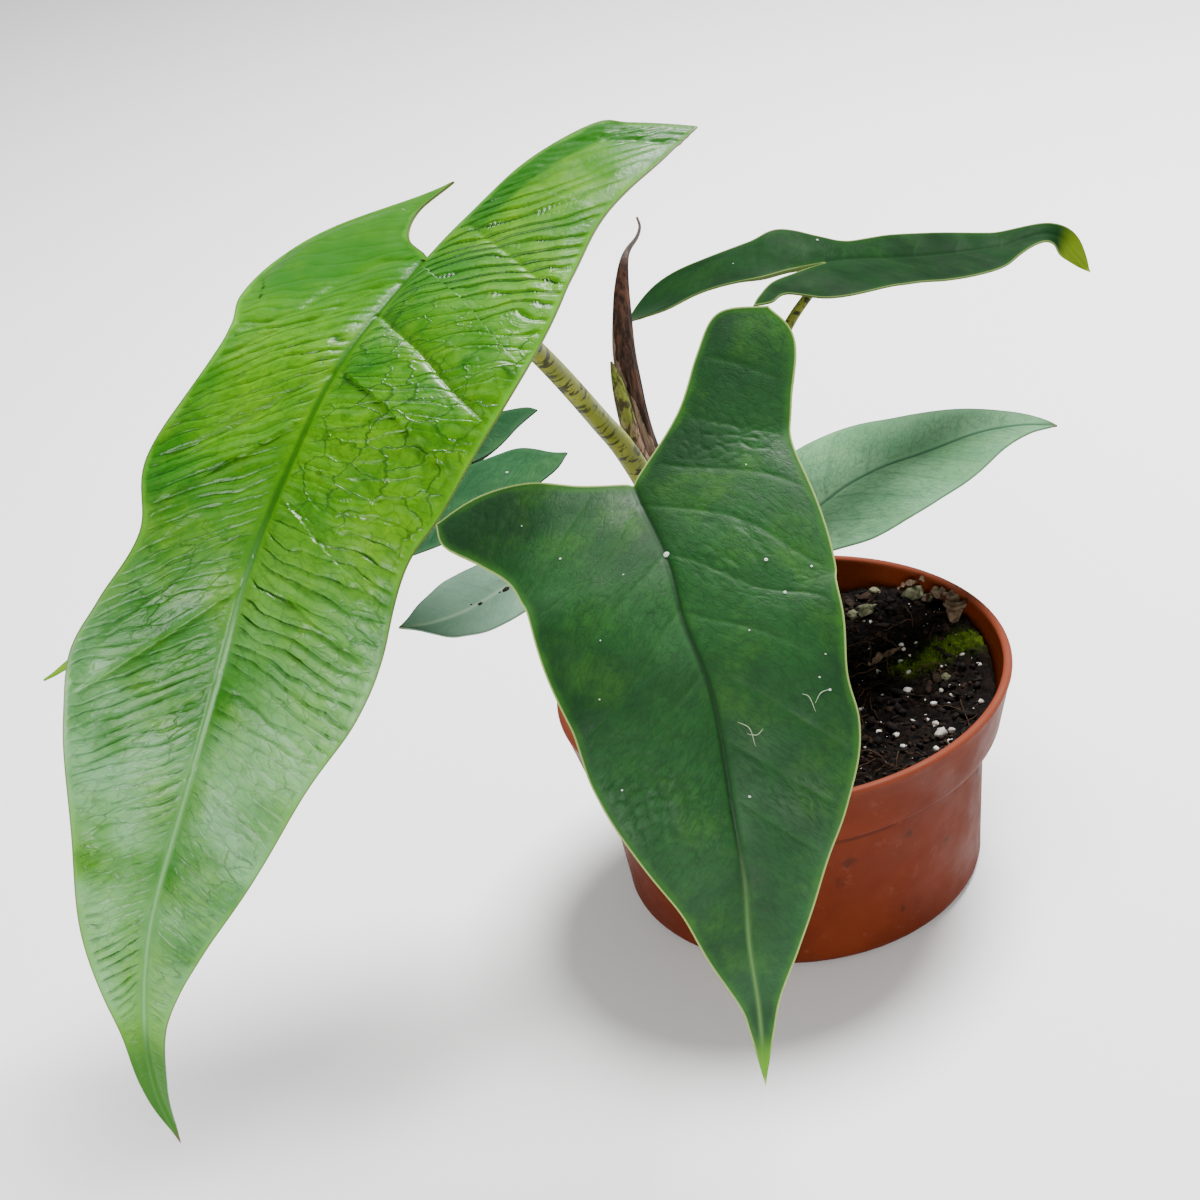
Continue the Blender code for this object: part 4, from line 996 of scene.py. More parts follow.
def stalk_paint():
    """Yellowish olive skin with short dark bands that run part of the way round."""
    paint = Paint("mottled stalk skin", 0.5, Specular_IOR_Level=0.25)
    around, along, share, spare = paint.parts("around")
    base = paint.mix(paint.rise(paint.noise(60, 3), 0.3, 0.7), (0.11, 0.13, 0.008), (0.22, 0.22, 0.025))
    turn = paint.node("ShaderNodeCombineXYZ", X=paint.math("MULTIPLY", around, 3.2))
    paint.set(turn.inputs["Y"], paint.math("MULTIPLY", along, 5.0))
    blotch = paint.noise(0.72, 4, 0.65, turn.outputs[0], 0.5)
    colour = paint.mix(paint.rise(blotch, 0.525, 0.565, 0.0, 0.92), base, (0.016, 0.014, 0.004))
    fleck = paint.noise(2.7, 3, 0.6, turn.outputs[0], 0.5)
    colour = paint.mix(paint.rise(fleck, 0.60, 0.66, 0.0, 0.6), colour, (0.03, 0.028, 0.006))
    normal = paint.bump(paint.noise(800, 3), 0.2, 0.0003)
    return paint.done(colour, paint.rise(paint.noise(120), 0.3, 0.7, 0.42, 0.65), normal)


def sheath_paint(name, dark, light, strip=None):
    """Dry streaked skin, with a paler papery strip down one side if strip says so."""
    paint = Paint(name, 0.7, Specular_IOR_Level=0.2)
    around, along, share, spare = paint.parts("around")
    stretch = paint.node("ShaderNodeMapping", Vector=paint.where(), Scale=(1.0, 1.0, 0.12))
    streak = paint.noise(900, 4, 0.7, stretch.outputs[0])
    colour = paint.mix(paint.rise(streak, 0.38, 0.62), dark, light)
    blotch = paint.noise(170, 4, 0.65)
    colour = paint.mix(paint.rise(blotch, 0.52, 0.66, 0.0, 0.7), colour, dark)
    if strip:
        centre = paint.rise(share, 0.52, 0.80, 0.27, 0.04)
        gap = paint.math("ABSOLUTE", paint.math("SUBTRACT", around, centre))
        gap = paint.math("ADD", gap, paint.rise(paint.noise(240, 3), 0.3, 0.7, -0.03, 0.03))
        wide = paint.rise(share, 0.52, 0.80, 0.11, 0.04)
        on = paint.math("LESS_THAN", gap, wide)
        on = paint.math("MULTIPLY", on, paint.rise(share, 0.76, 0.81, 1.0, 0.0))
        tan = paint.mix(paint.rise(streak, 0.35, 0.65), (0.11, 0.065, 0.040), (0.30, 0.21, 0.15))
        colour = paint.mix(on, colour, tan)
        colour = paint.mix(paint.rise(share, 0.88, 0.97, 0.0, 0.85), colour, (0.16, 0.13, 0.12))
    normal = paint.bump(streak, 0.6, 0.0006)
    return paint.done(colour, paint.rise(paint.noise(120), 0.3, 0.7, 0.55, 0.8), normal)


def fresh_paint():
    """Lime green skin above, pinkish tan below, flecked all over with dark brown."""
    paint = Paint("fresh sheath skin", 0.55, Specular_IOR_Level=0.25)
    around, along, share, spare = paint.parts("around")
    stretch = paint.node("ShaderNodeMapping", Vector=paint.where(), Scale=(1.0, 1.0, 0.5))
    colour = paint.mix(paint.rise(paint.noise(150, 3), 0.3, 0.7), (0.15, 0.19, 0.012), (0.30, 0.33, 0.05))
    lower = paint.math("ADD", share, paint.rise(paint.noise(90, 3), 0.3, 0.7, -0.07, 0.07))
    colour = paint.mix(paint.rise(lower, 0.92, 0.80), colour, (0.27, 0.16, 0.10))
    fleck = paint.noise(520, 4, 0.65, stretch.outputs[0], 0.5)
    colour = paint.mix(paint.rise(fleck, 0.48, 0.56, 0.0, 0.85), colour, (0.030, 0.014, 0.006))
    colour = paint.mix(paint.rise(share, 0.96, 1.0, 0.0, 0.8), colour, (0.07, 0.05, 0.02))
    normal = paint.bump(fleck, 0.4, -0.0004)
    return paint.done(colour, paint.rise(paint.noise(120), 0.3, 0.7, 0.45, 0.7), normal)


def make_sheath(name, node, rows, material, shape):
    route = smooth_curve([row[:3] for row in rows], 10)
    radii = smooth_curve([(row[3], 0, 0) for row in rows], 10)[:, 0]
    make_tube(name, node, route, radii, 72, material, shape)


def make_plant():
    skin = stalk_paint()
    skins = {
        "left": leaf_paint("new leaf skin", NEW_LEAF),
        "front": leaf_paint("dark leaf skin", DARK_LEAF),
        "upper_right": leaf_paint("upper leaf skin", UPPER_LEAF),
        "lower_right": leaf_paint("grey leaf skin", GREY_LEAF),
        "rear_left": leaf_paint("rear leaf skin", REAR_LEAF),
        "small_left": leaf_paint("pale leaf skin", PALE_LEAF),
    }
    for name, leaf in LEAVES.items():
        blade, piece = make_blade(name, leaf, LOOKS[name], skins[name])
        make_specks(name, blade, piece)
        route = stalk_route(leaf, blade)
        share = np.linspace(0, 1, len(route))
        first, last = leaf["stalk_radius"]
        make_tube(f"petiole_{name}", f"stalk_{name}", route, first + (last - first) * share, 32, skin)
    papery = sheath_paint("dry sheath skin", (0.010, 0.004, 0.002), (0.085, 0.034, 0.018), True)
    make_sheath("papery_sheath", "dry_sheath", DRY_SHEATH, papery, folded)
    make_sheath("fresh_sheath", "green_sheath", GREEN_SHEATH, fresh_paint(), folded)


DROPS = {
    "front": [(1, 2.03, 0.03, 0.075), (1, 2.78, 2.0, 0.045), (1, 3.83, 2.2, 0.045), (1, 7.53, 0.4, 0.035)]
    + [(1, 5.73, 2.4, 0.03), (1, 5.5, 2.25, 0.02), (1, 5.2, 2.5, 0.02), (1, 3.1, 2.9, 0.03), (1, 4.4, 1.2, 0.02)]
    + [(-1, 1.18, 2.1, 0.03), (-1, 3.58, 1.8, 0.02), (-1, 4.58, 2.25, 0.02), (-1, 6.98, 2.2, 0.025)]
    + [(-1, 0.1, 2.6, 0.02), (1, 0.9, 2.4, 0.02), (-1, 2.3, 1.0, 0.018)],
    "rear_left": [(1, -1.16, 1.35, 0.045)],
    "upper_right": [(1, 0.35, 0.8, 0.04), (1, -2.2, 1.1, 0.02)],
}
FLECKS = {"small_left": [(1, 0.36, 0.12, 0.10), (1, 0.55, 0.08, 0.04), (1, 1.14, 0.05, 0.07), (-1, 1.35, 0.1, 0.03)]}
HAIRS = {"front": [(1, (5.98, 0.4), (6.15, 0.62), (6.52, 0.68)), (1, (5.70, 1.82), (5.78, 1.95), (6.05, 2.02))]}
HAIRS["front"] += [(1, (6.25, 0.55), (6.3, 0.75), (6.2, 0.9)), (1, (5.9, 2.05), (5.75, 2.2), (5.72, 2.4))]


def on_blade(blade, piece, side, s, w):
    """The point of the finished blade's upper face at s, w, and the way it faces."""
    point, facing = blade.place(np.array([s]), np.array([w]), side)
    start = Vector(point[0] + 0.4 * facing[0]) * CM
    hit, place, normal, face = piece.ray_cast(start, -Vector(facing[0]))
    return np.array(place) / CM, np.array(normal)


def make_specks(name, blade, piece):
    """Water drops, dark flecks and stray pale hairs that lie on a blade."""
    base, faces = lump_shape(2)
    kinds = (
        ("drops", DROPS, 0.55, 0.08, lambda: drop_paint()),
        ("flecks", FLECKS, 0.30, 0.45, lambda: crumb_paint("dark flecks", (0.012, 0.008, 0.005), (0.04, 0.025, 0.015))),
    )
    for kind, table, height, rough, material in kinds:
        points, triangles = [], []
        for k, (side, s, w, radius) in enumerate(table.get(name, ())):
            place, up = on_blade(blade, piece, side, s, w)
            first = unit(np.cross(up, (0.3, 1.0, 0.2)))
            axes = np.stack([first, np.cross(up, first), up])
            uneven = 1 + rough * layered(base[:, 0] * 2 + 5.1 * k, base[:, 1] * 2 + base[:, 2], 71 + k)
            shape = base * uneven[:, None] * (radius, 0.8 * radius, height * radius)
            points.append(place + shape @ axes + 0.3 * height * radius * up)
            triangles.append(faces + k * len(base))
        if points:
            obj = mesh_object(f"{kind}_{name}", np.vstack(points) * CM, np.vstack(triangles))
            obj.data.materials.append(material())
            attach(obj, "root")
    strands, triangles, count = [], [], 0
    for side, *knots in HAIRS.get(name, ()):
        route = np.array([on_blade(blade, piece, side, s, w) for s, w in smooth_curve(knots, 6)])
        middle = route[:, 0] + 0.012 * route[:, 1]
        taper = 0.0075 * (1 - 0.6 * np.linspace(-1, 1, len(middle)) ** 2)
        grid = tube_grid(middle, taper, 6)[0]
        index = count + np.arange(len(middle) * 6).reshape(-1, 6)
        count += index.size
        strands.append(grid.reshape(-1, 3))
        triangles.append(sheet_faces(np.hstack([index, index[:, :1]]))[:, ::-1])
    if strands:
        obj = mesh_object(f"hairs_{name}", np.vstack(strands) * CM, np.vstack(triangles))
        obj.data.materials.append(crumb_paint("pale hairs", (0.25, 0.33, 0.20), (0.50, 0.56, 0.40), 0.6))
        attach(obj, "root")


def drop_paint():
    """Milky wet drops."""
    paint = Paint("drops", 0.12, Transmission_Weight=0.35, IOR=1.33)
    cloud = paint.noise(900, 2)
    colour = paint.mix(paint.rise(cloud, 0.3, 0.7), (0.55, 0.66, 0.55), (0.86, 0.90, 0.86))
    return paint.done(colour, paint.rise(cloud, 0.3, 0.7, 0.06, 0.2), paint.bump(cloud, 0.1, 0.0001))


def folded(share, angles):
    """The out-of-round section of a sheath: flattened, with a shallow groove down its front."""
    groove = 0.16 * math.sin(math.pi * min(1.0, 1.25 * share)) * np.exp(-(((angles - 1.1) / 0.28) ** 2))
    pleat = 0.035 * np.cos(7 * angles + 5 * share) + 0.02 * np.cos(17 * angles - 9 * share)
    return 1 - groove + pleat


def pot_paint():
    """Worn terracotta-coloured plastic: a painted highlight along the rim's top, a painted shadow under the rim band,
    soft mould marks, dust, and a few smears of soil.
    """
    paint = Paint("pot plastic", 0.5, Specular_IOR_Level=0.08)
    place = paint.where()
    cloud = paint.noise(35, 4)
    colour = paint.mix(paint.rise(cloud, 0.3, 0.7), (0.070, 0.0100, 0.0022), (0.098, 0.0155, 0.0040))
    split = paint.node("ShaderNodeSeparateXYZ", Vector=place)
    height = split.outputs["Z"]
    level = paint.node("ShaderNodeVectorMath", {"operation": "MULTIPLY"})
    paint.set(level.inputs[0], place)
    level.inputs[1].default_value = (1.0, 1.0, 0.0)
    reach = paint.node("ShaderNodeVectorMath", {"operation": "LENGTH"})
    paint.set(reach.inputs[0], level.outputs[0])
    wall = paint.math("SUBTRACT", reach.outputs["Value"], paint.math("MULTIPLY", height, 0.2))
    inside = paint.math("MULTIPLY", paint.rise(wall, 0.0468, 0.0463), paint.rise(height, 0.046, 0.048))
    colour = paint.mix(inside, colour, (0.15, 0.024, 0.004))
    # Painted highlight along the top of the rim.
    colour = paint.mix(paint.rise(height, 0.0603, 0.0616, 0.0, 0.6), colour, (0.20, 0.045, 0.022))
    colour = paint.mix(paint.rise(height, 0.004, 0.0, 0.0, 0.3), colour, (0.04, 0.008, 0.004))
    # Painted shadow: a thin dark line just under the rim band, broken up by noise.
    painted_band_shadow = paint.math("ABSOLUTE", paint.math("SUBTRACT", height, 0.0412))
    painted_band_shadow = paint.math("MULTIPLY", paint.rise(painted_band_shadow, 0.0009, 0.0002), paint.rise(paint.noise(70, 3), 0.42, 0.6))
    colour = paint.mix(paint.math("MULTIPLY", painted_band_shadow, 0.55), colour, (0.025, 0.006, 0.003))
    scuff = paint.math("MULTIPLY", paint.rise(paint.noise(260, 5, 0.7), 0.56, 0.75), 0.35)
    colour = paint.mix(scuff, colour, (0.14, 0.045, 0.025))
    for x, y, z, size in POT_SMEARS:
        gap = paint.node("ShaderNodeVectorMath", {"operation": "DISTANCE"})
        paint.set(gap.inputs[0], place)
        gap.inputs[1].default_value = (x * CM, y * CM, z * CM)
        ragged = paint.math("MULTIPLY_ADD", paint.noise(420, 4, 0.7), 0.006)
        ragged.node.inputs[2].default_value = -0.003
        away = paint.math("ADD", gap.outputs["Value"], ragged)
        colour = paint.mix(paint.rise(away, size * CM, 0.3 * size * CM, 0.0, 0.6), colour, (0.020, 0.008, 0.004))
    stretch = paint.node("ShaderNodeMapping", Vector=place, Scale=(1.0, 1.0, 6.0))
    rings = paint.noise(60, 2, 0.5, stretch.outputs[0])
    normal = paint.bump(rings, 0.25, 0.0004)
    normal = paint.bump(paint.noise(700, 3), 0.15, 0.0002, normal)
    return paint.done(colour, paint.rise(paint.noise(80, 4), 0.3, 0.7, 0.48, 0.68), normal)


POT_SMEARS = ((0.64, -5.06, 3.4, 0.26), (0.85, -5.0, 3.55, 0.16), (0.26, -4.99, 2.79, 0.2), (4.5, -2.75, 4.0, 0.42))
POT_SMEARS += ((2.2, -4.6, 3.6, 0.14), (3.3, -3.8, 2.6, 0.16), (1.9, -4.6, 1.2, 0.15))
POT_SMEARS += ((4.62, -2.4, 3.5, 0.3), (-3.9, -3.2, 3.0, 0.4), (-2.0, 4.7, 2.2, 0.5), (3.2, 3.9, 3.6, 0.35))


def soil_paint():
    """Dark damp potting mix: each crumb its own brown, pale fibres, painted shade in the hollows between raised crumbs,
    and a green skin where moss grows.
    """
    paint = Paint("damp soil", 0.9, Specular_IOR_Level=0.08)
    moss, tone, raised, spare = paint.parts("ground")
    colour = paint.mix(paint.rise(tone, 0.2, 1.0), (0.0012, 0.0007, 0.0005), (0.0080, 0.0038, 0.0022))
    grit = paint.noise(900, 4, 0.7)
    colour = paint.mix(paint.rise(grit, 0.55, 0.75, 0.0, 0.7), colour, (0.022, 0.013, 0.008))
    stretch = paint.node("ShaderNodeMapping", Vector=paint.where(), Scale=(0.25, 1.0, 1.0), Rotation=(0, 0, 0.6))
    fibre = paint.noise(1500, 3, 0.6, stretch.outputs[0], 0.8)
    colour = paint.mix(paint.rise(fibre, 0.62, 0.70, 0.0, 0.8), colour, (0.045, 0.026, 0.014))
    # Painted shade: the low ground between the raised crumbs is darkened.
    colour = paint.mix(paint.rise(raised, 0.0, 0.35, 0.75, 0.0), colour, (0.0010, 0.0007, 0.0005))
    green = paint.mix(paint.rise(paint.noise(600, 3), 0.35, 0.65), (0.018, 0.038, 0.001), (0.075, 0.115, 0.004))
    colour = paint.mix(moss, colour, green)
    normal = paint.bump(paint.noise(1100, 4, 0.7), 0.7, 0.0006)
    return paint.done(colour, paint.rise(grit, 0.3, 0.8, 0.8, 1.0), normal)


def crumb_paint(name, low, high, roughness=0.85, grain=900):
    paint = Paint(name, roughness, Specular_IOR_Level=0.15)
    colour = paint.mix(paint.rise(paint.noise(grain, 4, 0.65), 0.3, 0.7), low, high)
    broad = paint.noise(130, 2)
    colour = paint.mix(paint.rise(broad, 0.3, 0.7, 0.0, 0.4), colour, low)
    normal = paint.bump(paint.noise(1.3 * grain, 3), 0.5, 0.0004)
    return paint.done(colour, paint.rise(broad, 0.3, 0.7, roughness - 0.08, roughness + 0.08), normal)


def turned(profile, sides):
    """The grid of points of a closed turned body whose profile starts and ends on the axis."""
    profile = np.array(profile, float)
    turn = np.linspace(0, 2 * np.pi, sides, endpoint=False)
    grid = np.empty((len(profile), sides, 3))
    grid[..., 0] = profile[:, :1] * np.cos(turn)
    grid[..., 1] = profile[:, :1] * np.sin(turn)
    grid[..., 2] = profile[:, 1:]
    index = np.arange(grid.shape[0] * sides).reshape(grid.shape[:2])
    index[0, :] = index[0, 0]
    index[-1, :] = index[-1, 0]
    return grid, np.hstack([index, index[:, :1]])


def compact(points, faces, marks=()):
    used, faces = np.unique(faces, return_inverse=True)
    return points[used], faces.reshape(-1, 3), [(label, values[used]) for label, values in marks]


def rounded(middle, radius, start, end, steps):
    angles = np.radians(np.linspace(start, end, steps + 1))
    return [(middle[0] + radius * np.cos(a), middle[1] + radius * np.sin(a)) for a in angles]


BAND_FOOT = 4.55


def band_inside(z):
    """The radius, in centimetres, of the rim band's inner face at this height."""
    return 5.5 + (6.08 - 5.7) / 1.65 * (z - BAND_FOOT)


def make_pot():
    """The pot in fine triangles: a bead at the lip, softened steps, a foot ring and the six drain holes."""
    profile = [(0.0, 0.2), (2.0, 0.2), (4.0, 0.2), (4.68, 0.2), (4.75, 0.26)]
    profile += [(4.75 + (5.08 - 4.75) * k / 8, 0.26 + (4.5 - 0.26) * k / 8) for k in range(1, 9)]
    profile += [(5.12, 4.60), (5.40, 4.68), (band_inside(4.78), 4.78)]
    profile += [(band_inside(4.78 + 1.25 * k / 6), 4.78 + 1.25 * k / 6) for k in range(1, 7)]
    profile += rounded((5.945, 6.10), 0.10, 180, 90, 5)
    profile += rounded((5.99, 6.10), 0.10, 90, -10, 6)
    profile += [(6.045, 5.98), (6.02, 5.88)]
    profile += [(6.02 - 0.31 * k / 6, 5.88 - 1.28 * k / 6) for k in range(1, 7)]
    profile += [(5.69, 4.55), (5.64, 4.52), (5.34, 4.44), (5.24, 4.38)]
    profile += [(5.24 - 0.32 * k / 10, 4.38 - 3.98 * k / 10) for k in range(1, 11)]
    profile += rounded((4.60, 0.32), 0.32, 8, -90, 6)
    profile += [(4.35, 0.0), (4.22, 0.03), (2.0, 0.03), (0.0, 0.03)]
    grid, index = turned(profile, 160)
    points, faces, marks = compact(grid.reshape(-1, 3) * CM, sheet_faces(index))
    pot = mesh_object("nursery_pot", points, faces)
    cutters = []
    for k in range(6):
        angle = 2 * np.pi * (k + 0.5) / 6
        bpy.ops.mesh.primitive_cylinder_add(
            vertices=24, radius=0.004, depth=0.008, location=(0.031 * np.cos(angle), 0.031 * np.sin(angle), 0.001)
        )
        cutter = bpy.context.active_object
        cut = pot.modifiers.new(f"drain {k + 1}", "BOOLEAN")
        cut.object = cutter
        cut.operation = "DIFFERENCE"
        cut.solver = "EXACT"
        cutters.append(cutter)
    graph = bpy.context.evaluated_depsgraph_get()
    finished = bpy.data.meshes.new_from_object(pot.evaluated_get(graph))
    pot.modifiers.clear()
    pot.data = finished
    finished.shade_smooth()
    finished.set_sharp_from_angle(angle=math.radians(50))
    for cutter in cutters:
        bpy.data.objects.remove(cutter)
    finished.materials.clear()
    finished.materials.append(pot_paint())
    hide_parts("pot")
    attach(pot, "root")


def soil_height(x, y):
    """The height of the soil's top in centimetres, and its marks: moss, tone and how raised it is."""
    z = np.full(np.shape(x), 5.15)
    for middle_x, middle_y, height, size in SOIL_MOUNDS:
        z = z + height * np.exp(-((x - middle_x) ** 2 + (y - middle_y) ** 2) / size**2)
    first, second = cells2(x / 0.42, y / 0.42, 501)
    big = np.clip(1 - (first / 0.62) ** 2, 0, 1) * stepped(noise2(x * 1.1, y * 1.1, 507), -0.3, 0.5)
    near, next_near = cells2(x / 0.17, y / 0.17, 511)
    small = np.clip(1 - (near / 0.6) ** 2, 0, 1)
    fine = layered(x * 9, y * 9, 517)
    moss = segment_mask(x, y, (3.3, 0.15), (6.1, 0.75), 0.34) * stepped(layered(x * 2.2, y * 2.2, 521), -0.75, 0.1)
    rise = 0.14 * big + 0.085 * small + 0.03 * fine
    tone = 0.5 + 0.5 * noise2(np.floor(x / 0.17) * 1.7, np.floor(y / 0.17) * 1.3, 523)
    return z + rise - 0.06 + 0.06 * moss, moss, tone, np.clip(rise / 0.15, 0, 1)


SOIL_MOUNDS = ((5.0, 1.4, 0.60, 2.0), (3.6, 3.8, 0.45, 1.4), (-0.2, 0.0, 0.35, 2.4), (-3.8, -2.0, 0.20, 1.8))


def segment_mask(x, y, start, end, width):
    """1 on a straight stretch of ground, falling to 0 away from it."""
    way = np.array(end) - np.array(start)
    part = np.clip(((x - start[0]) * way[0] + (y - start[1]) * way[1]) / (way @ way), 0, 1)
    away = np.hypot(x - start[0] - part * way[0], y - start[1] - part * way[1])
    return np.exp(-((away / width) ** 2))


def make_soil():
    """The soil: crumbs raised from its top, and plain where the pot hides it."""
    sides = 380
    radii = np.linspace(1.18, band_inside(5.2) - 0.05, 104)
    profile = [(0.0, 3.0), (1.18, 3.0)] + [(r, 5.15) for r in radii]
    profile += [(band_inside(4.71) - 0.03, 4.74), (5.05, 4.58), (4.70, 0.24), (3.0, 0.23), (0.0, 0.23)]
    grid, index = turned(profile, sides)
    x, y = grid[2:106, :, 0], grid[2:106, :, 1]
    height, moss, tone, raised = soil_height(x, y)
    grid[2:106, :, 2] = height
    marks = np.zeros((*grid.shape[:2], 4))
    marks[2:106, :, 0], marks[2:106, :, 1], marks[2:106, :, 2] = moss, tone, raised
    marks[..., 3] = 1
    points, faces, marks = compact(
        grid.reshape(-1, 3) * CM, sheet_faces(index), [("ground", marks.reshape(-1, 4))]
    )
    soil = mesh_object("potting_mix", points, faces, marks)
    soil.data.materials.append(soil_paint())
    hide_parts("soil")
    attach(soil, "root")


def lump_shape(detail):
    """The points and triangles of a small round lump with radius 1."""
    shape = bmesh.new()
    bmesh.ops.create_icosphere(shape, subdivisions=detail, radius=1.0)
    points = np.array([v.co for v in shape.verts])
    faces = np.array([[v.index for v in f.verts] for f in shape.faces])
    shape.free()
    return points, faces


def make_lumps(name, places, material, detail=2, rough=0.25, seed=1, sink=0.35):
    """Irregular lumps lying on the soil. Each place is x, y, and the lump's three half sizes and turn."""
    base, faces = lump_shape(detail)
    all_points, all_faces = [], []
    for k, (x, y, a, b, c, turn) in enumerate(places):
        bulge = layered(base[:, 0] * 1.6 + 7.3 * k, base[:, 1] * 1.6 + base[:, 2] * 1.9, seed + k)
        corner = layered(base[:, 2] * 3.1 + 3.1 * k, base[:, 0] * 3.3 - base[:, 1] * 2.7, seed + k + 90)
        shape = base * (1 + rough * bulge + 0.5 * rough * corner)[:, None] * (a, b, c)
        tilt = Matrix.Rotation(0.5 * (hashed(np.array(k), np.array(3), seed) - 0.5), 3, "X")
        spin = np.array(Matrix.Rotation(turn, 3, "Z") @ tilt)
        shape = shape @ spin.T
        ground = float(soil_height(np.array([x]), np.array([y]))[0][0])
        all_points.append(shape + (x, y, ground + c * (1 - 2 * sink)))
        all_faces.append(faces + k * len(base))
    obj = mesh_object(name, np.vstack(all_points) * CM, np.vstack(all_faces))
    obj.data.materials.append(material)
    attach(obj, "root")
    return obj


def scattered(count, seed, inner=1.5, outer=5.3):
    """Fixed scattered places on the soil as (x, y, four numbers from 0 to 1)."""
    draw = np.random.default_rng(seed)
    for _ in range(count):
        radius = math.sqrt(draw.uniform(inner**2, outer**2))
        angle = draw.uniform(0, 2 * math.pi)
        yield (radius * math.cos(angle), radius * math.sin(angle), *draw.uniform(0, 1, 4))


PERLITE = [(3.19, -0.76, 0.14), (3.48, 1.18, 0.09), (2.65, 0.36, 0.10), (4.05, -1.04, 0.09), (3.73, -1.52, 0.09)]
PERLITE += [(5.26, -0.33, 0.08), (5.15, -0.05, 0.06), (4.69, -1.41, 0.07), (4.95, -1.75, 0.09)]
PERLITE += [(4.55, -2.25, 0.10), (2.51, -2.61, 0.11), (2.12, -2.22, 0.09), (2.57, -3.04, 0.08), (3.60, -2.35, 0.12)]
PERLITE += [(3.62, -2.85, 0.19), (3.76, -3.20, 0.16), (3.92, -2.78, 0.11), (3.36, -3.45, 0.10), (2.51, -0.8, 0.06)]
PERLITE += [(1.81, -1.27, 0.07)]


def make_litter():
    """What lies on the soil: perlite, crumbs, bark, pale lichen, fibres, shreds of dry leaf and moss."""
    places = [(x, y, 0.95 * r, 0.75 * r, 0.6 * r, 2.3 * k) for k, (x, y, r) in enumerate(PERLITE)]
    for x, y, a, b, c, d in scattered(240, 31):
        size = 0.014 + 0.045 * a**4
        places.append((x, y, size * (1 + 0.8 * b), size, size * 0.8, 6 * c))
    make_lumps("perlite", places, crumb_paint("perlite grains", (0.22, 0.20, 0.17), (0.75, 0.73, 0.68), 0.9, 350), 2, 0.55, 5)
    shades = (((0.0016, 0.0009, 0.0006), (0.010, 0.005, 0.003)), ((0.010, 0.0045, 0.002), (0.045, 0.021, 0.010)))
    for n, (low, high) in enumerate(shades):
        places = []
        for x, y, a, b, c, d in scattered((1050, 420)[n], 37 + 50 * n):
            size = 0.03 + (0.11, 0.06)[n] * a**3
            places.append((x, y, size * (1 + 1.2 * b), size, size * 0.7, 6 * c))
        make_lumps(("soil_crumbs", "brown_crumbs")[n], places, crumb_paint(f"crumbs {n + 1}", low, high), 1, 0.7, 9 + n)
    places = []
    for x, y, a, b, c, d in scattered(34, 41):
        places.append((x, y, 0.20 + 0.18 * a, 0.09 + 0.06 * b, 0.035, 6 * c))
    make_lumps("bark_chips", places, crumb_paint("bark chips", (0.006, 0.003, 0.0015), (0.035, 0.017, 0.009)), 2, 0.55, 17, 0.1)
    places = [(4.33, 3.35, 0.30, 0.26, 0.24, 0.4), (4.60, 3.05, 0.16, 0.13, 0.11, 1.4), (3.35, 4.05, 0.22, 0.15, 0.10, 2.0)]
    places += [(2.92, 3.10, 0.26, 0.17, 0.14, 0.2), (2.55, 3.30, 0.17, 0.13, 0.10, 1.2), (4.30, -0.62, 0.13, 0.11, 0.09, 2.2)]
    places += [(-3.2, 2.6, 0.22, 0.16, 0.12, 0.7), (-1.2, -4.2, 0.18, 0.13, 0.1, 2.7)]
    make_lumps("lichen_lumps", places, crumb_paint("pale lichen", (0.05, 0.055, 0.025), (0.24, 0.23, 0.14), 0.9, 600), 3, 0.6, 23, 0.25)
    make_fibres()
    make_shreds()
    make_moss()


def make_fibres():
    """Thin roots and coir fibres that lie on the soil."""
    points, faces, count = [], [], 0
    sides = 6
    draw = np.random.default_rng(43)
    for x, y, a, b, c, d in scattered(170, 47):
        length = 0.4 + 0.9 * a
        heading = 2 * np.pi * b
        bend = 2.2 * (c - 0.5)
        route = []
        for k in range(9):
            heading += bend / 8 + 0.25 * (draw.uniform() - 0.5)
            x += length / 8 * math.cos(heading)
            y += length / 8 * math.sin(heading)
            far = math.hypot(x, y)
            if far > 5.35 or far < 1.4:
                break
            ground = float(soil_height(np.array([x]), np.array([y]))[0][0])
            route.append((x, y, ground + 0.03 + 0.10 * d * math.sin(math.pi * k / 8)))
        if len(route) < 4:
            continue
        grid = tube_grid(smooth_curve(route, 3), np.full(3 * (len(route) - 1) + 1, 0.006 + 0.011 * d), sides)[0]
        index = count + np.arange(grid.shape[0] * sides).reshape(grid.shape[0], sides)
        count += index.size
        points.append(grid.reshape(-1, 3))
        faces.append(sheet_faces(np.hstack([index, index[:, :1]]))[:, ::-1])
    obj = mesh_object("root_fibres", np.vstack(points) * CM, np.vstack(faces))
    obj.data.materials.append(crumb_paint("root fibres", (0.015, 0.007, 0.003), (0.085, 0.045, 0.022)))
    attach(obj, "root")


SHREDS = (
    dict(route=[(3.9, 3.6), (4.25, 3.45), (4.62, 3.1)], lift=(0.10, 0.34, 0.62), width=0.13),
    dict(route=[(4.45, 2.95), (4.75, 2.75), (5.0, 2.3)], lift=(0.05, 0.30, 0.35), width=0.22),
    dict(route=[(2.45, 0.55), (2.8, 0.75), (3.45, 1.05)], lift=(0.05, 0.14, 0.05), width=0.11),
    dict(route=[(5.3, 2.4), (5.2, 1.9), (5.0, 1.35)], lift=(0.15, 0.28, 0.05), width=0.32),
    dict(route=[(4.9, 2.9), (5.15, 2.5), (5.35, 1.9)], lift=(0.1, 0.35, 0.2), width=0.26),
    dict(route=[(-4.4, 1.0), (-3.9, 1.9), (-3.0, 2.4)], lift=(0.1, 0.2, 0.05), width=0.25),
)


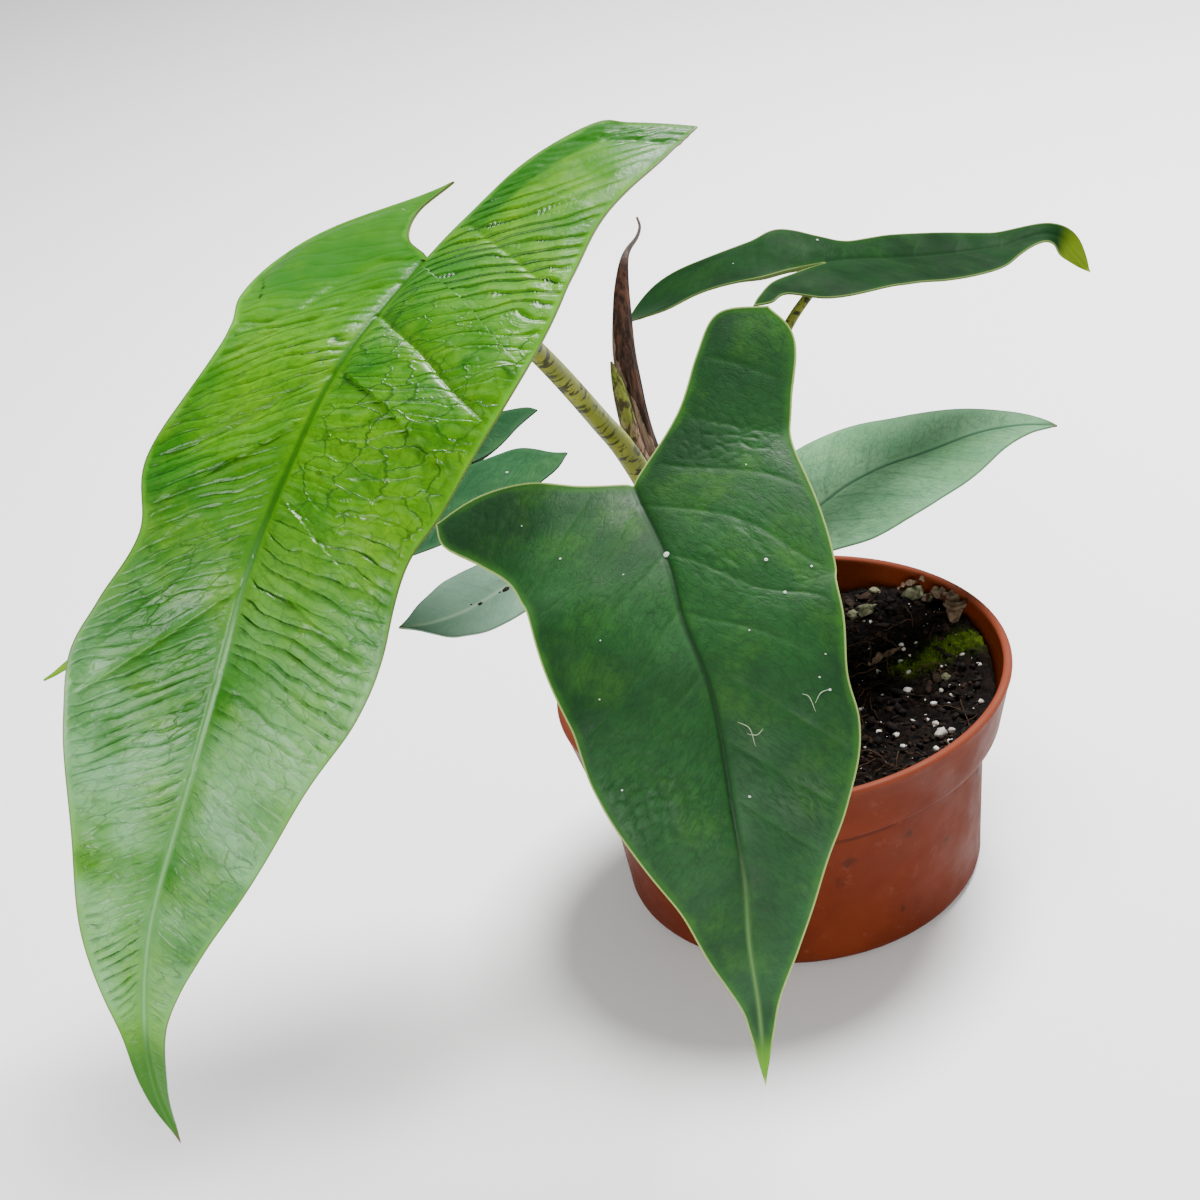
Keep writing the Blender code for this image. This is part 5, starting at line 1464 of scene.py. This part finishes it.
def make_shreds():
    """Curled shreds of dry leaf on the soil and against the pot's wall."""
    points, faces, count = [], [], 0
    for n, shred in enumerate(SHREDS):
        middle = smooth_curve([(x, y, 0.0) for x, y in shred["route"]], 14)
        rows, cells = len(middle), 10
        lift = np.interp(np.linspace(0, 1, rows), np.linspace(0, 1, 3), shred["lift"])
        way = unit(np.gradient(middle, axis=0))
        side = np.stack([-way[:, 1], way[:, 0], np.zeros(rows)], axis=-1)
        part = np.linspace(-1, 1, cells + 1)
        ends = np.sin(np.pi * np.clip(np.linspace(0.06, 0.97, rows), 0, 1)) ** 0.5
        ragged = 1 + 0.3 * noise2(np.arange(rows) * 0.6, np.full(rows, n * 3.1), 61)
        width = shred["width"] * ends * ragged
        ground = soil_height(middle[:, 0], middle[:, 1])[0]
        grid = middle[:, None, :] + side[:, None, :] * (width[:, None] * part)[..., None]
        grid[..., 2] = (ground + lift)[:, None] + 0.45 * width[:, None] * part**2
        grid[..., 2] += 0.03 * noise2(grid[..., 0] * 5, grid[..., 1] * 5, 67 + n)
        for layer, flip in ((0.0, False), (-0.018, True)):
            index = count + np.arange(rows * (cells + 1)).reshape(rows, cells + 1)
            count += index.size
            points.append((grid + (0, 0, layer)).reshape(-1, 3))
            face = sheet_faces(index)
            faces.append(face if flip else face[:, ::-1])
    obj = mesh_object("dry_shreds", np.vstack(points) * CM, np.vstack(faces))
    obj.data.materials.append(crumb_paint("dry shreds", (0.045, 0.025, 0.015), (0.20, 0.13, 0.08), 0.75, 500))
    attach(obj, "root")


def make_moss():
    """Tufts of moss: many small leaning blades along the green streak."""
    draw = np.random.default_rng(53)
    points, faces = [], []
    while len(points) < 5 * 1500:
        t = draw.uniform(0, 1)
        x = 3.3 + 2.55 * t + 0.30 * draw.normal()
        y = 0.15 + 0.6 * t + 0.28 * draw.normal()
        if math.hypot(x, y) > 5.45:
            continue
        height, moss, tone, raised = soil_height(np.array([x]), np.array([y]))
        if moss[0] < draw.uniform(0.15, 0.9):
            continue
        angle = draw.uniform(0, 2 * math.pi)
        size = draw.uniform(0.05, 0.11)
        lean = np.array([draw.normal(), draw.normal(), 0.0]) * 0.45 * size
        side = np.array([math.cos(angle), math.sin(angle), 0.0]) * 0.014
        thick = np.array([-math.sin(angle), math.cos(angle), 0.0]) * 0.010
        foot = np.array([x, y, float(height[0]) - 0.02])
        k = len(points)
        points += [foot - side, foot + side, foot + thick, foot - thick, foot + lean + (0, 0, size)]
        faces += [(k, k + 2, k + 4), (k + 2, k + 1, k + 4), (k + 1, k + 3, k + 4), (k + 3, k, k + 4)]
    obj = mesh_object("moss", np.array(points) * CM, np.array(faces))
    obj.data.materials.append(crumb_paint("moss", (0.022, 0.050, 0.001), (0.095, 0.150, 0.005), 0.8, 400))
    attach(obj, "root")


def scarred(share, angles):
    """The stem's out-of-round section: old leaf scars that step in one above the other, and fine ribs."""
    level = 6.5 * share + 0.16 * np.sin(angles + 9 * share) + 0.05 * np.sin(5 * angles)
    step = level - np.floor(level)
    ribs = 0.012 * np.cos(31 * angles + 4 * share) + 0.008 * np.cos(53 * angles)
    return 0.98 - 0.09 * step**2 + (ribs - 0.02) * (0.4 + 0.6 * step)


def make_stem():
    heights = np.array([3.03, 5.15, 6.2, 6.85, 7.0])
    radii = np.array([0.85, 1.15, 1.08, 1.15, 1.07])
    z = np.linspace(heights[0], heights[-1], 110)
    route = np.stack([0 * z, 0 * z, z], axis=-1)
    material = sheath_paint("stem skin", (0.020, 0.011, 0.006), (0.11, 0.070, 0.036))
    make_tube("stem_bark", "stem", route, np.interp(z, heights, radii), 120, material, scarred)


def make_ground():
    make_pot()
    make_soil()
    make_litter()
    make_stem()


def make_camera():
    """The camera at the photograph's viewpoint, looking down and rolled a little to the left."""
    pitch = math.radians(CAMERA_PITCH)
    roll = math.radians(CAMERA_ROLL)
    ahead = Vector((0, math.cos(pitch), -math.sin(pitch)))
    level = Vector((1, 0, 0))
    above = level.cross(ahead)
    right = level * math.cos(roll) + above * math.sin(roll)
    up = above * math.cos(roll) - level * math.sin(roll)
    data = bpy.data.cameras.new("camera")
    data.lens = CAMERA_LENS
    data.sensor_width = 36
    data.clip_start = 0.01
    camera = bpy.data.objects.new("camera", data)
    turn = Matrix((right, up, -ahead)).transposed().to_4x4()
    camera.matrix_world = Matrix.Translation(CAMERA_PLACE) @ turn
    bpy.context.scene.collection.objects.link(camera)
    bpy.context.scene.camera = camera


def make_light(name, place, aim, size, power):
    data = bpy.data.lights.new(name, "AREA")
    data.shape = "DISK"
    data.size = size
    data.energy = power
    lamp = bpy.data.objects.new(name, data)
    lamp.location = place
    lamp.rotation_euler = (Vector(aim) - Vector(place)).to_track_quat("-Z", "Y").to_euler()
    bpy.context.scene.collection.objects.link(lamp)


def make_studio():
    """A plain pale floor, an even pale sky and two large soft lamps."""
    world = bpy.data.worlds.new("studio")
    world.use_nodes = True
    sky = world.node_tree.nodes["Background"]
    sky.inputs["Color"].default_value = (1, 1, 1, 1)
    sky.inputs["Strength"].default_value = 0.45
    bpy.context.scene.world = world
    mesh = bpy.data.meshes.new("floor")
    far = 3.0
    mesh.from_pydata([(-far, -far, 0), (far, -far, 0), (far, far, 0), (-far, far, 0)], [], [(0, 1, 2, 3)])
    floor = bpy.data.objects.new("floor", mesh)
    bpy.context.scene.collection.objects.link(floor)
    material = bpy.data.materials.new("floor")
    material.use_nodes = True
    shader = material.node_tree.nodes["Principled BSDF"]
    shader.inputs["Base Color"].default_value = (0.9, 0.9, 0.9, 1)
    shader.inputs["Roughness"].default_value = 0.8
    mesh.materials.append(material)
    make_light("key", (0.35, 0.45, 1.1), (-0.03, -0.03, 0.1), 0.6, 50)
    make_light("front", (-0.45, -1.3, 0.30), (-0.08, -0.10, 0.1), 0.7, 22)


make_camera()
make_studio()
make_plant()
make_ground()
